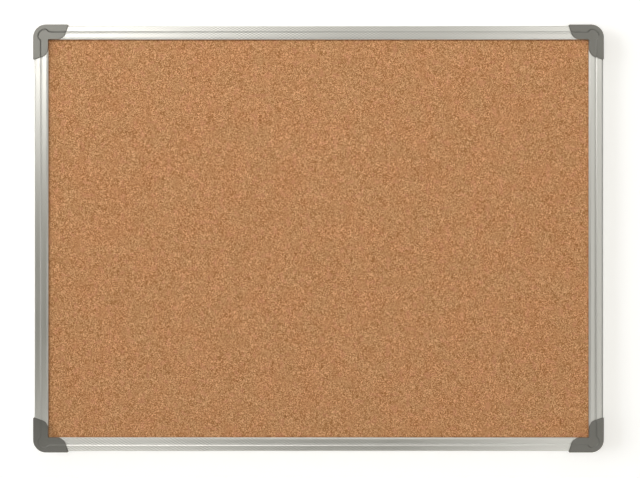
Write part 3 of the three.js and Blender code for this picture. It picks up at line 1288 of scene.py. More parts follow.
class CornerMoulding:
    """A plastic corner: raised arms over the rails' ends, a lobed inner tier, legs and a ribbed rear."""

    past: float = 5.0 * MM
    round_steps: int = 12
    rim_steps: int = 4
    hole_sides: int = 32

    def __init__(
        self, node: str, side: Side, plan: BoardPlan, depths: Depths, section: RailSection,
        cap: CapSizes, screw: ScrewSizes,
    ) -> None:
        """Keeps the moulding's place and sizes.

        Args:
            node: The name of the corner that it stands for.
            side: The side whose first corner it is.
            plan: The board's size.
            depths: The shared depths.
            section: The rails that plug in.
            cap: The moulding's own sizes.
            screw: The screws in its legs.
        """
        self.node = node
        self.depths = depths
        self.section = section
        self.cap = cap
        self.screw = screw
        self.frame = plan.corner_frame(side)

    def build(self) -> BMesh:
        """Makes the shell, hollows its rear, and adds the legs.

        Returns:
            The moulding in its place.
        """
        cap = self.cap
        shell = self._tiers()
        far = cap.arm + self.past
        inset = self.section.proud + self.section.web_inner
        panel = slab(spot(inset, inset, self.depths.flange_front), spot(far, far, self.depths.lip_rear))
        hollows = [self._rail_space(True), self._rail_space(False), panel, *self._pockets()]
        shell = carve(shell, hollows, Cut.AWAY)
        shell = carve(shell, [self._leg(True), self._leg(False)], Cut.JOIN)
        shell = carve(shell, [self._leg_hole(True), self._leg_hole(False)], Cut.AWAY)
        shell.transform(self.frame)
        return shell

    def _tiers(self) -> BMesh:
        """The solid seen from the front: a flat inner tier, and an outer tier that stands above it.

        Returns:
            A new mesh.
        """
        inner = self._block(self.cap.tuck, self.depths.cap_inner_front)
        outer = carve(self._block(0, self.depths.cap_front), [self._shouldered()], Cut.KEEP)
        return carve(inner, [outer], Cut.JOIN)

    def _block(self, tuck: float, front: float) -> BMesh:
        """The moulding's whole outline as a solid with a rounded rim.

        Args:
            tuck: How far its outer sides, tips and rear are drawn in.
            front: The depth of its front.

        Returns:
            A new mesh.
        """
        cap = self.cap
        tip = cap.arm - tuck
        foot = cap.drawn_back(cap.face) - tuck
        corners = (
            (tuck, tuck, cap.corner_round),
            (tip, tuck, cap.tip_round),
            (foot, cap.face, cap.arm_round),
            (cap.face, cap.face, cap.inner_round),
            (cap.face, foot, cap.arm_round),
            (tuck, tip, cap.tip_round),
        )
        through = spot(0, 0, front - tuck)
        block = prism(corners, lambda along, up: spot(along, up, tuck), through, self.round_steps)
        round_edges(block, self._front_face(block).edges, cap.rim_round, self.rim_steps)
        tidy(block)
        return block

    def _shouldered(self) -> BMesh:
        """A solid past the outer edges, whose round shoulder meets the inner tier at the step line.

        Returns:
            A new mesh.
        """
        cap, past = self.cap, self.past
        front = self.depths.cap_front + cap.lift
        rise = front - self.depths.cap_inner_front
        hidden = cap.shoulder * (1 - math.sin(math.acos(1 - rise / cap.shoulder)))
        line = cap.step_line + hidden
        band = cap.lobe_band + hidden
        turn = math.atan2(cap.step_line - cap.lobe_band, cap.lobe_flare)
        near = cap.corner_round - hidden * math.tan(turn / 2)
        far = near + cap.lobe_flare
        end = cap.arm + past
        corners = (
            (-past, -past, 0),
            (end, -past, 0),
            (end, line, 0),
            (far, line, cap.lobe_corner),
            (near, band, cap.lobe_foot),
            (band, band, cap.lobe_round - hidden),
            (band, near, cap.lobe_foot),
            (line, far, cap.lobe_corner),
            (line, end, 0),
            (-past, end, 0),
        )
        through = spot(0, 0, front + past)
        solid = prism(corners, lambda along, up: spot(along, up, -past), through, self.round_steps)
        round_edges(solid, self._front_face(solid).edges, cap.shoulder, 2 * self.round_steps, clamp=False)
        tidy(solid)
        return solid

    @staticmethod
    def _front_face(bm: BMesh) -> BMFace:
        """The flat face at the front."""
        return min(bm.faces, key=lambda face: face.calc_center_median().y)

    def _rail_space(self, level: bool) -> BMesh:
        """The tool that frees the room of one rail under an arm.

        Args:
            level: Whether it lies along the corner's first side.

        Returns:
            A new mesh.
        """
        cap, depths, section = self.cap, self.depths, self.section
        far = cap.face + self.past
        groove = section.proud + section.groove_high
        lip = depths.inner_band - section.bevel_depth + cap.fit
        corners = (
            (cap.wall, -self.past, 0),
            (far, -self.past, 0),
            (far, lip, 0),
            (cap.face, lip, 0),
            (cap.face - section.bevel_width, depths.inner_band + cap.fit, 0),
            (groove, depths.inner_band + cap.fit, 0),
            (groove, depths.rail_front + cap.fit, 0),
            (cap.wall, depths.rail_front + cap.fit, 0),
        )
        run = cap.arm + self.past - cap.face
        if level:
            return prism(corners, lambda across, depth: spot(cap.face, across, depth), spot(run, 0, 0))
        return prism(corners, lambda across, depth: spot(across, cap.face, depth), spot(0, run, 0))

    def _pockets(self) -> list[BMesh]:
        """The tools for the four pockets in the rear, with a cross of ribs left between them.

        Returns:
            New meshes.
        """
        cap = self.cap
        near = (cap.pocket_wall, (cap.face - cap.pocket_rib) / 2)
        far = ((cap.face + cap.pocket_rib) / 2, cap.face - cap.pocket_wall)
        small = cap.pocket_round
        large = (cap.corner_round - cap.pocket_wall) * cap.pocket_corner_share
        through = spot(0, 0, self.past + cap.pocket_depth)
        tools = []
        for left, right in (near, far):
            for low, high in (near, far):
                first = large if left == low == cap.pocket_wall else small
                corners = (
                    (left, low, first),
                    (right, low, small),
                    (right, high, small),
                    (left, high, small),
                )
                tools.append(prism(corners, lambda along, up: spot(along, up, -self.past), through))
        return tools

    def _leg(self, level: bool) -> BMesh:
        """A leg that plugs into a rail's hollow.

        Args:
            level: Whether it lies along the corner's first side.

        Returns:
            A new mesh.
        """
        cap, depths, section = self.cap, self.depths, self.section
        root = cap.face - cap.leg_root
        tip = cap.face + cap.fit + cap.leg_reach
        low = section.proud + section.outer_wall + cap.fit
        high = section.proud + section.web_outer - cap.fit
        corners = ((root, low, 0), (tip, low, cap.leg_round), (tip, high, cap.leg_round), (root, high, 0))
        rear = depths.chamber_back + cap.fit
        shift = spot(0, 0, depths.lip_rear - cap.fit - rear)
        if level:
            return prism(corners, lambda along, up: spot(along, up, rear), shift)
        return prism(corners, lambda up, along: spot(along, up, rear), shift)

    def _leg_hole(self, level: bool) -> BMesh:
        """The tool for a leg's screw hole.

        Args:
            level: Whether it lies along the corner's first side.

        Returns:
            A new mesh.
        """
        cap, screw = self.cap, self.screw
        radius = screw.shank_radius + screw.clearance
        end = screw.sink + screw.length + cap.screw_spare
        tool = turned(((0, -self.past), (radius, -self.past), (radius, end), (0, end)), self.hole_sides)
        along = cap.face + cap.fit + screw.inset
        across = self.section.proud + self.section.chamber_centre
        place = spot(along, across, 0) if level else spot(across, along, 0)
        bmesh.ops.translate(tool, vec=place, verts=tool.verts)
        return tool

    def dress(self, finish: Material) -> Piece:
        """The built moulding with its finish."""
        return Piece(f"{self.node}_moulding", self.build(), finish, "corner_plastic", self.node)


class CornerScrew:
    """A countersunk cross-head screw with a rolled thread, from a rail's rear into a leg."""

    sides: int = 32
    turn_steps: int = 20

    def __init__(self, sizes: ScrewSizes) -> None:
        """Keeps the screw's sizes."""
        self.sizes = sizes

    def build(self) -> BMesh:
        """Turns the body, winds the thread round it and presses the cross.

        Returns:
            The screw at the origin.
        """
        sizes = self.sizes
        neck = sizes.sink + sizes.head_height
        end = sizes.sink + sizes.length
        body = turned((
            (0, sizes.sink),
            (sizes.head_radius - sizes.head_chamfer, sizes.sink),
            (sizes.head_radius, sizes.sink + sizes.head_chamfer),
            (sizes.head_radius, sizes.sink + sizes.rim),
            (sizes.core_radius, neck),
            (sizes.core_radius, end - sizes.point),
            (sizes.tip_radius, end),
            (0, end),
        ), self.sides)
        body = carve(body, [self._thread(neck + sizes.thread_start, end - sizes.point)], Cut.JOIN)
        return carve(body, [self._cross_arm(True), self._cross_arm(False)], Cut.AWAY)

    def _thread(self, start: float, end: float) -> BMesh:
        """The thread's wound ridge.

        Args:
            start: The depth that it starts at.
            end: The depth that it ends at.

        Returns:
            A new mesh.
        """
        sizes = self.sizes
        bm = bmesh.new()
        half = sizes.pitch * sizes.thread_share
        root = sizes.core_radius - sizes.thread_root
        tops = ((root, -half), (sizes.shank_radius, 0), (root, half))
        first = bm.faces.new([bm.verts.new(spot(radius, 0, start + depth)) for radius, depth in tops])
        turns = (end - start) / sizes.pitch
        steps = int(turns * self.turn_steps)
        bmesh.ops.spin(
            bm, geom=[first], cent=(0, 0, 0), axis=(0, 1, 0), angle=turns * 2 * math.pi, steps=steps,
            dvec=spot(0, 0, (end - start) / steps),
        )
        tidy(bm)
        return bm

    def _cross_arm(self, level: bool) -> BMesh:
        """The tool for one arm of the cross, narrowing as it goes in.

        Args:
            level: Whether the arm lies along the rail.

        Returns:
            A new mesh.
        """
        sizes = self.sizes
        reach = sizes.cross_reach
        half = sizes.cross_width / 2
        size = (reach, half) if level else (half, reach)
        tool = slab(spot(-size[0], -size[1], 0), spot(size[0], size[1], sizes.sink + sizes.cross_depth))
        for vert in tool.verts:
            if -vert.co.y > sizes.sink:
                vert.co.x *= sizes.cross_taper
                vert.co.z *= sizes.cross_taper
        return tool

    def dress(self, node: str, place: Matrix, built: BMesh, finish: Material) -> Piece:
        """A copy of the built screw, put in its place.

        Args:
            node: The screw that it stands for.
            place: Takes the screw from the origin to its place.
            built: The screw at the origin.
            finish: Its material.

        Returns:
            The piece.
        """
        copy = built.copy()
        copy.transform(place)
        return Piece(f"{node}_crosshead", copy, finish, "zinc_steel", node)


@dataclass(frozen=True)
class HangerSizes:
    """A pressed keyhole hanger."""

    width: float = 36.0 * MM
    plate_end: float = 45.8 * MM
    thickness: float = 0.8 * MM
    corner_round: float = 5.0 * MM
    set_back: float = 0.3 * MM
    hem_low: float = 8.25 * MM
    hem_high: float = 12.55 * MM
    slot_rear: float = 1.2 * MM
    bend_start: float = 14.0 * MM
    bend_round: float = 0.85 * MM
    bend_angle: float = math.radians(42)
    keyhole_centre: float = 29.8 * MM
    keyhole_radius: float = 4.5 * MM
    keyhole_slot: float = 2.1 * MM
    keyhole_reach: float = 7.5 * MM
    edge_round: float = 0.12 * MM
    fold_slack: float = 1.04


class FoldedStrip:
    """The middle line of a folded strip, walked from its hem to its plate's end."""

    def __init__(self, start: Vector, heading: float) -> None:
        """Starts the line.

        Args:
            start: Its first point, as distance inwards and depth.
            heading: Its first direction in radians.
        """
        self.runs: list[tuple[float, float]] = []
        self.start = start
        self.heading = heading

    def straight(self, length: float) -> "FoldedStrip":
        """Adds a straight run."""
        self.runs.append((length, 0.0))
        return self

    def bend(self, angle: float, radius: float) -> "FoldedStrip":
        """Adds an arc that turns by an angle."""
        self.runs.append((abs(angle) * radius, angle))
        return self

    @property
    def length(self) -> float:
        """The strip's whole length when flat."""
        return sum(run for run, _ in self.runs)

    def fold_lines(self, steps: int) -> list[float]:
        """Where the flat strip needs an edge across it, so that its bends come out round.

        Args:
            steps: The straight pieces of each bend.

        Returns:
            Distances along the flat strip.
        """
        lines = []
        walked = 0.0
        for run, angle in self.runs:
            if angle:
                lines += [walked + run * i / steps for i in range(steps + 1)]
            walked += run
        return lines

    def at(self, distance: float) -> Vector:
        """The point at a distance along the strip.

        Args:
            distance: How far along the flat strip.

        Returns:
            The folded point, as distance inwards and depth.
        """
        point = self.start.copy()
        heading = self.heading
        for run, angle in self.runs:
            part = min(max(distance, 0.0), run)
            if angle:
                turn = angle * part / run
                radius = run / angle
                point += radius * Vector((
                    math.sin(heading + turn) - math.sin(heading),
                    math.cos(heading) - math.cos(heading + turn),
                ))
                heading += turn
            else:
                point += part * Vector((math.cos(heading), math.sin(heading)))
            distance -= run
            if distance <= 0:
                break
        return point


class KeyholeHanger:
    """A zinc-plated strip: a hem that slides in a rail's slot, a joggle, and a plate with a keyhole."""

    arc_steps: int = 14
    corner_steps: int = 10
    fold_steps: int = 6
    edge_steps: int = 2
    edge_angle: float = math.radians(60)

    def __init__(
        self, side: Side, end: str, plan: BoardPlan, section: RailSection, sizes: HangerSizes,
    ) -> None:
        """Keeps the hanger's place and sizes.

        Args:
            side: The rail that it slides in.
            end: Its end of that rail.
            plan: The board's size.
            section: The rail's section.
            sizes: The hanger's own sizes.
        """
        self.node = f"hanger_{side.name.lower()}_{end}"
        self.body = f"{side.name.lower()}_{end}_hanger"
        self.sizes = sizes
        low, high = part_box(self.node)
        middle = (low.x + high.x) / 2
        along = middle if side is Side.BOTTOM else -middle
        self.frame = plan.side_frame(side) @ Matrix.Translation((along, 0, section.proud))

    def _strip(self) -> FoldedStrip:
        """The strip's middle line: hem, fold, slot run, joggle and plate.

        Returns:
            The line.
        """
        sizes = self.sizes
        half = sizes.thickness / 2
        fold = half * sizes.fold_slack
        low_leaf = sizes.slot_rear + half
        drop = low_leaf - sizes.set_back - half
        turn, radius = sizes.bend_angle, sizes.bend_round
        slope = (drop - 2 * radius * (1 - math.cos(turn))) / math.sin(turn)
        joggle = 2 * radius * math.sin(turn) + slope * math.cos(turn)
        hem_axis = sizes.hem_low + half + fold
        strip = FoldedStrip(Vector((sizes.hem_high, low_leaf + 2 * fold)), math.pi)
        strip.straight(sizes.hem_high - hem_axis).bend(math.pi, fold)
        strip.straight(sizes.bend_start - hem_axis)
        strip.bend(-turn, radius).straight(slope).bend(turn, radius)
        return strip.straight(sizes.plate_end - sizes.bend_start - joggle)

    def _keyhole(self, centre: float) -> list[Vector]:
        """The keyhole's outline on the flat strip, with a slot above and below.

        Args:
            centre: How far along the strip its middle lies.

        Returns:
            Its points in order, as right and along.
        """
        sizes = self.sizes
        opening = math.acos(sizes.keyhole_slot / sizes.keyhole_radius)
        middle = Vector((0, centre))
        reach = Vector((0, sizes.keyhole_reach))
        points = []
        for turn, end in ((0.0, reach), (math.pi, -reach)):
            points += arc(middle, sizes.keyhole_radius, turn - opening, turn + opening, self.arc_steps)
            points += arc(middle + end, sizes.keyhole_slot, turn, turn + math.pi, self.arc_steps)
        return points

    def build(self) -> BMesh:
        """Cuts the flat strip, folds it, and gives it its thickness and soft edges.

        Returns:
            The hanger in its place.
        """
        sizes = self.sizes
        strip = self._strip()
        half = sizes.width / 2
        bm = bmesh.new()
        corners = (
            (-half, 0, 0),
            (half, 0, 0),
            (half, strip.length, sizes.corner_round),
            (-half, strip.length, sizes.corner_round),
        )
        blank = outline(bm, corners, lambda along, run: spot(along, run, 0), self.corner_steps)
        from_end = sizes.plate_end - sizes.keyhole_centre
        keyhole = self._keyhole(strip.length - from_end)
        hole = bm.faces.new([bm.verts.new(spot(point.x, point.y, 0)) for point in keyhole])
        bmesh.ops.delete(bm, geom=[blank, hole], context="FACES_ONLY")
        bmesh.ops.triangle_fill(bm, use_beauty=True, use_dissolve=False, edges=bm.edges)
        for line in strip.fold_lines(self.fold_steps):
            divide(bm, Vector((0, 0, line)), Vector((0, 0, 1)))
        for vert in bm.verts:
            inwards, depth = strip.at(vert.co.z)
            vert.co = spot(vert.co.x, inwards, depth)
        bmesh.ops.recalc_face_normals(bm, faces=bm.faces)
        self._thicken(bm)
        bm.transform(self.frame)
        return bm

    def _thicken(self, bm: BMesh) -> None:
        """Grows the folded sheet by half its thickness to either side, and rounds its cut edges.

        Args:
            bm: The folded sheet.
        """
        half = self.sizes.thickness / 2
        bm.normal_update()
        rear = {vert: vert.co - vert.normal * half for vert in bm.verts}
        for vert, point in rear.items():
            vert.co = point
        bmesh.ops.solidify(bm, geom=bm.faces[:], thickness=-self.sizes.thickness)
        bmesh.ops.recalc_face_normals(bm, faces=bm.faces)
        shared = [edge for edge in bm.edges if edge.is_manifold]
        rims = [edge for edge in shared if edge.calc_face_angle(0.0) > self.edge_angle]
        round_edges(bm, rims, self.sizes.edge_round, self.edge_steps)

    def dress(self, finish: Material) -> Piece:
        """The built hanger with its finish, on its own body."""
        return Piece(f"{self.node}_pressing", self.build(), finish, "zinc_steel", self.node, self.body)


@dataclass(frozen=True)
class PanelSizes:
    """How finely the panel's sheets are modelled."""

    cork_cell: float = 2.2 * MM
    cork_sink: float = 0.3 * MM
    cork_relief: float = 0.12 * MM
    press_width: float = 1.7 * MM
    press_top: float = 1.2 * MM
    press_left: float = 0.65 * MM
    press_right: float = 0.25 * MM
    press_bottom: float = 0.3 * MM
    crumb: float = 2.6 * MM
    fine_ratio: float = 2.3
    fine_share: float = 0.35
    sheet_cell: float = 12 * MM
    sheet_wave: float = 0.06 * MM
    sheet_wave_cells: float = 14


class CorkPanel:
    """The bonded panel: cork face, fibre core and backing sheet."""

    def __init__(self, sizes: PanelSizes, opening: Vector) -> None:
        """Keeps the sheets' sizes, and half the opening between the rails' lips."""
        self.sizes = sizes
        self.opening = opening

    def _sheet(
        self, node: str, cell: float, front: bool, lift: Callable[[Vector], float],
        lines: Iterable[Vector] = (),
    ) -> BMesh:
        """A sheet with a relief on its front or its rear.

        Args:
            node: The layer that it stands for.
            cell: The width of its mesh's cells.
            front: Whether the relief faces the front.
            lift: How far each point sinks below the layer's face.
            lines: The feet of straight lines across the sheet, along which its mesh is divided too.

        Returns:
            A new mesh.
        """
        low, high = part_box(node)
        size = high - low
        bm = bmesh.new()
        bmesh.ops.create_grid(
            bm, x_segments=round(size.x / cell), y_segments=round(size.z / cell), size=0.5,
            matrix=Matrix.Rotation(math.pi / 2, 4, "X"),
        )
        bmesh.ops.scale(bm, vec=(size.x, 1, size.z), verts=bm.verts)
        face = low.y if front else high.y
        back = high.y if front else low.y
        into = 1 if front else -1
        centre = (low + high) / 2
        bmesh.ops.translate(bm, vec=(centre.x, face, centre.z), verts=bm.verts)
        for foot in lines:
            divide(bm, foot, foot.normalized())
        rim = [edge for edge in bm.edges if edge.is_boundary]
        for vert in bm.verts:
            vert.co.y += into * lift(vert.co)
        walls = bmesh.ops.extrude_edge_only(bm, edges=rim)["geom"]
        for vert in only(walls, BMVert):
            vert.co.y = back
        far_rim = [edge for edge in bm.edges if edge.is_boundary]
        bmesh.ops.edgeloop_fill(bm, edges=far_rim)
        return bm

    def _crumbs(self, point: Vector) -> float:
        """How far the cork sinks at a point, between its crumbs and where the frame presses it.

        Args:
            point: The point on the sheet.

        Returns:
            The depth.
        """
        flat = Vector((point.x, 0, point.z)) / self.sizes.crumb
        rough = 0.5 + 0.5 * noise.noise(flat)
        fine = 0.5 + 0.5 * noise.noise(flat * self.sizes.fine_ratio)
        share = self.sizes.fine_share
        relief = self.sizes.cork_relief * ((1 - share) * rough + share * fine)
        return self.sizes.cork_sink + self._press(point) + relief

    def _press(self, point: Vector) -> float:
        """How far the frame presses the cork down at a point.

        Args:
            point: The point on the sheet.

        Returns:
            The depth.
        """
        sizes = self.sizes
        edges = (
            (self.opening.y - point.z, sizes.press_top),
            (self.opening.x + point.x, sizes.press_left),
            (self.opening.x - point.x, sizes.press_right),
            (self.opening.y + point.z, sizes.press_bottom),
        )
        return max(depth * min(max(1 - inside / sizes.press_width, 0), 1) for inside, depth in edges)

    def _press_lines(self) -> list[Vector]:
        """The feet of the lines between which the cork slopes down to the frame.

        Returns:
            One point for each line.
        """
        feet = []
        for inside in (0.0, self.sizes.press_width / 2, self.sizes.press_width):
            for way in (-1, 1):
                feet.append(Vector((way * (self.opening.x - inside), 0, 0)))
                feet.append(Vector((0, 0, way * (self.opening.y - inside))))
        return feet

    def _ripples(self, point: Vector) -> float:
        """How far the backing sheet sinks at a point, where it was rolled on unevenly."""
        flat = Vector((point.x, 0, point.z)) / (self.sizes.sheet_wave_cells * self.sizes.sheet_cell)
        return self.sizes.sheet_wave * (0.5 + 0.5 * noise.noise(flat))

    def dress(self, core: Object) -> list[Piece]:
        """Dresses the core where it is, and builds the two sheets.

        Args:
            core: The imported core, which keeps its shape.

        Returns:
            The cork and the backing sheet.
        """
        core.data.materials.clear()
        core.data.materials.append(SoftboardFinish().material())
        LOG.info("%s: %d faces on %s, as packed", core.name, len(core.data.polygons), BOARD_BODY)
        cork = self._sheet("cork_sheet", self.sizes.cork_cell, True, self._crumbs, self._press_lines())
        back = self._sheet("back_sheet", self.sizes.sheet_cell, False, self._ripples)
        pressed, pebbled = CorkFinish().material(), BackSheetFinish().material()
        return [
            Piece("cork_face", cork, pressed, "cork", "cork_sheet", even_shading=False),
            Piece("backing", back, pebbled, "back_sheet", "back_sheet", even_shading=False),
        ]


# The studio


@dataclass(frozen=True)
class Softbox:
    """A flat lamp aimed at a point, as bright in a mirror as its glow says."""

    name: str
    place: tuple[float, float, float]
    width: float
    height: float
    glow: float
    aim: tuple[float, float, float] | None = None
    shine: Shine = Shine.ALL

    def light(self) -> None:
        """Hangs the lamp, facing the wall squarely where it has no aim."""
        lamp = bpy.data.lights.new(self.name, "AREA")
        lamp.shape = "RECTANGLE"
        lamp.size = self.width
        lamp.size_y = self.height
        lamp.energy = math.pi * self.width * self.height * self.glow
        place = Vector(self.place)
        way = Vector(self.aim) - place if self.aim else Vector((0, 1, 0))
        obj = hang(lamp, place, way)
        obj.visible_diffuse = self.shine is not Shine.MIRRORED
        obj.visible_glossy = self.shine is not Shine.MATT


@dataclass(frozen=True)
class Sweep:
    """Even light from far away, too wide and pale to show in metal."""

    name: str
    way: tuple[float, float, float]
    level: float
    spread: float
    colour: Colour

    def light(self) -> None:
        """Hangs the lamp, strong enough to add its level to a white board's lightness."""
        lamp = bpy.data.lights.new(self.name, "SUN")
        way = Vector(self.way).normalized()
        lamp.energy = math.pi * self.level / abs(way.y)
        lamp.angle = self.spread
        lamp.color = self.colour
        hang(lamp, -way, way).visible_glossy = False


def hang(lamp: Light, place: Vector, way: Vector) -> Object:
    """Puts a lamp in the scene, out of the camera's sight.

    Args:
        lamp: The lamp.
        place: Where it hangs.
        way: Where it shines.

    Returns:
        The lamp's object.
    """
    obj = show(lamp.name, lamp)
    obj.location = place
    obj.rotation_euler = way.to_track_quat("-Z", "Y").to_euler()
    obj.visible_camera = False
    return obj


class WorldPaint(Paint):
    """The world under construction."""

    def __init__(self, name: str) -> None:
        """Starts an empty world.

        Args:
            name: The world's name.
        """
        self.world = bpy.data.worlds.new(name)
        self.world.use_nodes = True
        self.tree = self.world.node_tree
        self.tree.nodes.clear()

    def way(self, name: str) -> Wire:
        """One axis of the direction in which the world is looked at."""
        toward = self.node("ShaderNodeTexCoord", out="Generated")
        return self.node("ShaderNodeSeparateXYZ", inputs={0: toward}, out=name)


@dataclass(frozen=True)
class Studio:
    """A white wall and a pale floor in soft light, and the camera straight in front."""

    plan: BoardPlan
    lens: float = 90.0
    sensor: float = 36.0
    sight: float = 50.0
    picture_width_px: int = 640
    board_scale: float = 1.0509 * MM
    board_middle_px: tuple[float, float] = (318.5, 238.5)
    picture_middle_px: tuple[float, float] = (320.0, 239.0)
    wall_gap: float = 0.4 * MM
    wall_reach: float = 4.0
    floor_drop: float = 1.1
    floor_colour: Colour = (0.6, 0.6, 0.59)
    floor_mottle: float = 0.3
    floor_shade: float = 0.97
    floor_spread: float = 0.06
    floor_roughness: float = 0.8
    floor_glow: float = 0.3
    floor_seen: float = 1.8
    window_inset: float = 2.0 * MM
    # Sizes and tones of the dark strip laid on the wall along the right rail as painted shadow.
    shadow_strip_inside: float = 1.0 * MM
    shadow_strip_past: float = 2.1 * MM
    shadow_strip_reach: float = 194.0 * MM
    shadow_strip_back: float = 0.1 * MM
    shadow_strip_colour: Colour = (0.045, 0.045, 0.042)
    shadow_strip_mottle: float = 4 * MM
    shadow_strip_shade: float = 0.9
    shadow_strip_spread: float = 0.2
    wall_colour: Colour = (0.8, 0.8, 0.8)
    wall_glow: float = 0.365
    wall_glow_colour: Colour = (1.0, 0.955, 0.86)
    room_colour: Colour = (1.0, 0.995, 0.98)
    room: float = 0.13
    room_left: float = 0.15
    room_right: float = 0.1
    room_up: float = 0.05
    mirror_left: float = 0.85
    mirror_right: float = 1.0
    mirror_up: float = 0.37
    mirror_ceiling: float = 0.4
    mirror_low: float = 0.5
    mirror_rise: float = 4.0
    square_gain: float = 2.5
    square_cut: float = 1.5
    ceiling_gain: float = 4.0
    ceiling_cut: float = 2.9
    dim_gain: float = 5.0
    dim_cut: float = 3.55
    room_back: float = 0.35
    room_front: Colour = (0.147, 0.141, 0.115)
    room_seen: Colour = (0.76, 0.76, 0.75)
    lamp_plane: float = 1.75

    def set_up(self) -> None:
        """Builds the whole studio."""
        self._camera()
        self._world()
        self._wall()
        self._painted_shadow_strip()
        self._floor()
        for lamp in self._lamps():
            lamp.light()
        bpy.context.scene.view_settings.view_transform = "Standard"

    def _camera(self) -> None:
        """Puts the camera where the board fills the picture as in the photograph."""
        data = bpy.data.cameras.new("portrait camera")
        data.lens = self.lens
        data.sensor_width = self.sensor
        data.sensor_fit = "HORIZONTAL"
        data.clip_end = self.sight
        span = self.picture_width_px * self.board_scale
        distance = span * self.lens / self.sensor
        right = (self.picture_middle_px[0] - self.board_middle_px[0]) * self.board_scale
        down = (self.picture_middle_px[1] - self.board_middle_px[1]) * self.board_scale
        obj = show("portrait camera", data)
        obj.location = spot(right, -down, self.plan.depth + distance)
        obj.rotation_euler = (math.pi / 2, 0, 0)
        bpy.context.scene.camera = obj

    def _world(self) -> None:
        """Fills the studio with light: walls paler above in mirrors, and a dim end behind the camera."""
        paint = WorldPaint("studio room")
        right, up = paint.way("X"), paint.way("Z")
        mirror = paint.seen_by(Ray.MIRROR)
        high = mirror * (self.mirror_low + up * self.mirror_rise).clamped()
        left_wall = (0.0 - right).clamped() * (self.room_left + high * self.mirror_left)
        square_on = (right * self.square_gain - self.square_cut).clamped()
        right_wall = right.clamped() * self.room_right + square_on * high * self.mirror_right
        above = up.clamped() * (self.room_up + mirror * self.mirror_up)
        overhead = (up * self.ceiling_gain - self.ceiling_cut).clamped()
        ceiling = overhead * mirror * self.mirror_ceiling
        back = paint.way("Y")
        sides = left_wall + right_wall + above + ceiling + back.clamped() * self.room_back
        walls = paint.scaled(self.room_colour, sides + self.room)
        dim = (-self.dim_cut - back * self.dim_gain).clamped()
        eye = paint.seen_by(Ray.EYE)
        colour = paint.blend(eye, paint.blend(dim, walls, self.room_front), self.room_seen)
        shader = paint.node("ShaderNodeBackground", inputs={"Color": colour, "Strength": 1.0})
        paint.node("ShaderNodeOutputWorld", inputs={"Surface": shader})
        bpy.context.scene.world = paint.world

    def _wall(self) -> None:
        """Stands the wall behind the board, with a window there so that its rear is lit."""
        bm = bmesh.new()
        half = Vector((self.plan.width / 2, self.plan.height / 2))
        inset = Vector((self.window_inset, self.window_inset))
        round_trip = ((-1, -1), (1, -1), (1, 1), (-1, 1))
        for reach in (half - inset, Vector((self.wall_reach, self.wall_reach))):
            verts = [bm.verts.new(spot(x * reach.x, z * reach.y, -self.wall_gap)) for x, z in round_trip]
            for pair in zip(verts, verts[1:] + verts[:1]):
                bm.edges.new(pair)
        bmesh.ops.bridge_loops(bm, edges=bm.edges)
        self._face_front(bm)
        self._stage("wall", bm, self._wall_paint())

    @staticmethod
    def _face_front(bm: BMesh) -> None:
        """Turns every face of a flat mesh to the front.

        Args:
            bm: The mesh.
        """
        bm.normal_update()
        for face in bm.faces:
            if face.normal.y > 0:
                face.normal_flip()

    def _wall_paint(self) -> Material:
        """White paint with a little glow to the eye and in mirrors, seen only from the front.

        Returns:
            The material.
        """
        paint = Paint("white wall")
        matt = paint.node("ShaderNodeBsdfDiffuse", inputs={"Color": (*self.wall_colour, 1.0)})
        eye = paint.seen_by(Ray.EYE)
        mirror = paint.seen_by(Ray.MIRROR)
        through = paint.seen_by(Ray.GLASS)
        seen = paint.math("MAXIMUM", paint.math("MAXIMUM", eye, mirror), through)
        tint = (*self.wall_glow_colour, 1.0)
        glow = paint.node("ShaderNodeEmission", inputs={"Color": tint, "Strength": seen * self.wall_glow})
        return self._one_sided(paint, paint.node("ShaderNodeAddShader", inputs={0: matt, 1: glow}))

    @staticmethod
    def _one_sided(paint: Paint, front: Wire) -> Material:
        """Finishes a material that can be seen only from the front, with the shader that shows there.

        Args:
            paint: The material under construction.
            front: The shader that shows.

        Returns:
            The material.
        """
        clear = paint.node("ShaderNodeBsdfTransparent")
        behind = paint.node("ShaderNodeNewGeometry", out="Backfacing")
        both = paint.node("ShaderNodeMixShader", inputs={0: behind, 1: front, 2: clear})
        paint.node("ShaderNodeOutputMaterial", inputs={"Surface": both})
        return paint.material

    def _painted_shadow_strip(self) -> None:
        """Lays a dark strip on the wall along the right rail: painted shadow, a dark line where the rail
        meets the wall.
        """
        edge = self.plan.width / 2
        inner, outer = edge - self.shadow_strip_inside, edge + self.shadow_strip_past
        ends = ((inner, -1), (outer, -1), (outer, 1), (inner, 1))
        bm = bmesh.new()
        bm.faces.new([bm.verts.new(spot(x, end * self.shadow_strip_reach, -self.shadow_strip_back)) for x, end in ends])
        self._face_front(bm)
        paint = Paint("painted shadow")
        # The strip's dark colour is painted shadow, mottled by a soft noise.
        shadow_mottle = paint.cloud(self.shadow_strip_mottle, detail=2.0)
        tone = paint.scaled(self.shadow_strip_colour, self.shadow_strip_shade + shadow_mottle * self.shadow_strip_spread)
        matt = paint.node("ShaderNodeBsdfDiffuse", inputs={"Color": tone})
        self._stage("painted shadow strip", bm, self._one_sided(paint, matt))

    def _floor(self) -> None:
        """Lays the pale floor below the picture, lit from within and more so to the eye."""
        bm = bmesh.new()
        bmesh.ops.create_grid(bm, x_segments=1, y_segments=1, size=self.wall_reach)
        bmesh.ops.translate(bm, vec=(0, 0, -self.floor_drop), verts=bm.verts)
        paint = Paint("pale floor")
        mottle = paint.cloud(self.floor_mottle, detail=3.0)
        uneven = self.floor_shade + mottle * self.floor_spread
        eye = paint.seen_by(Ray.EYE)
        tone = paint.scaled(self.floor_colour, uneven)
        glow = paint.scaled(self.floor_colour, uneven * (1.0 + eye * self.floor_seen))
        fixed = {"Roughness": self.floor_roughness, "Emission Strength": self.floor_glow}
        self._stage("floor", bm, paint.surface(fixed, {"Base Color": tone, "Emission Color": glow}))

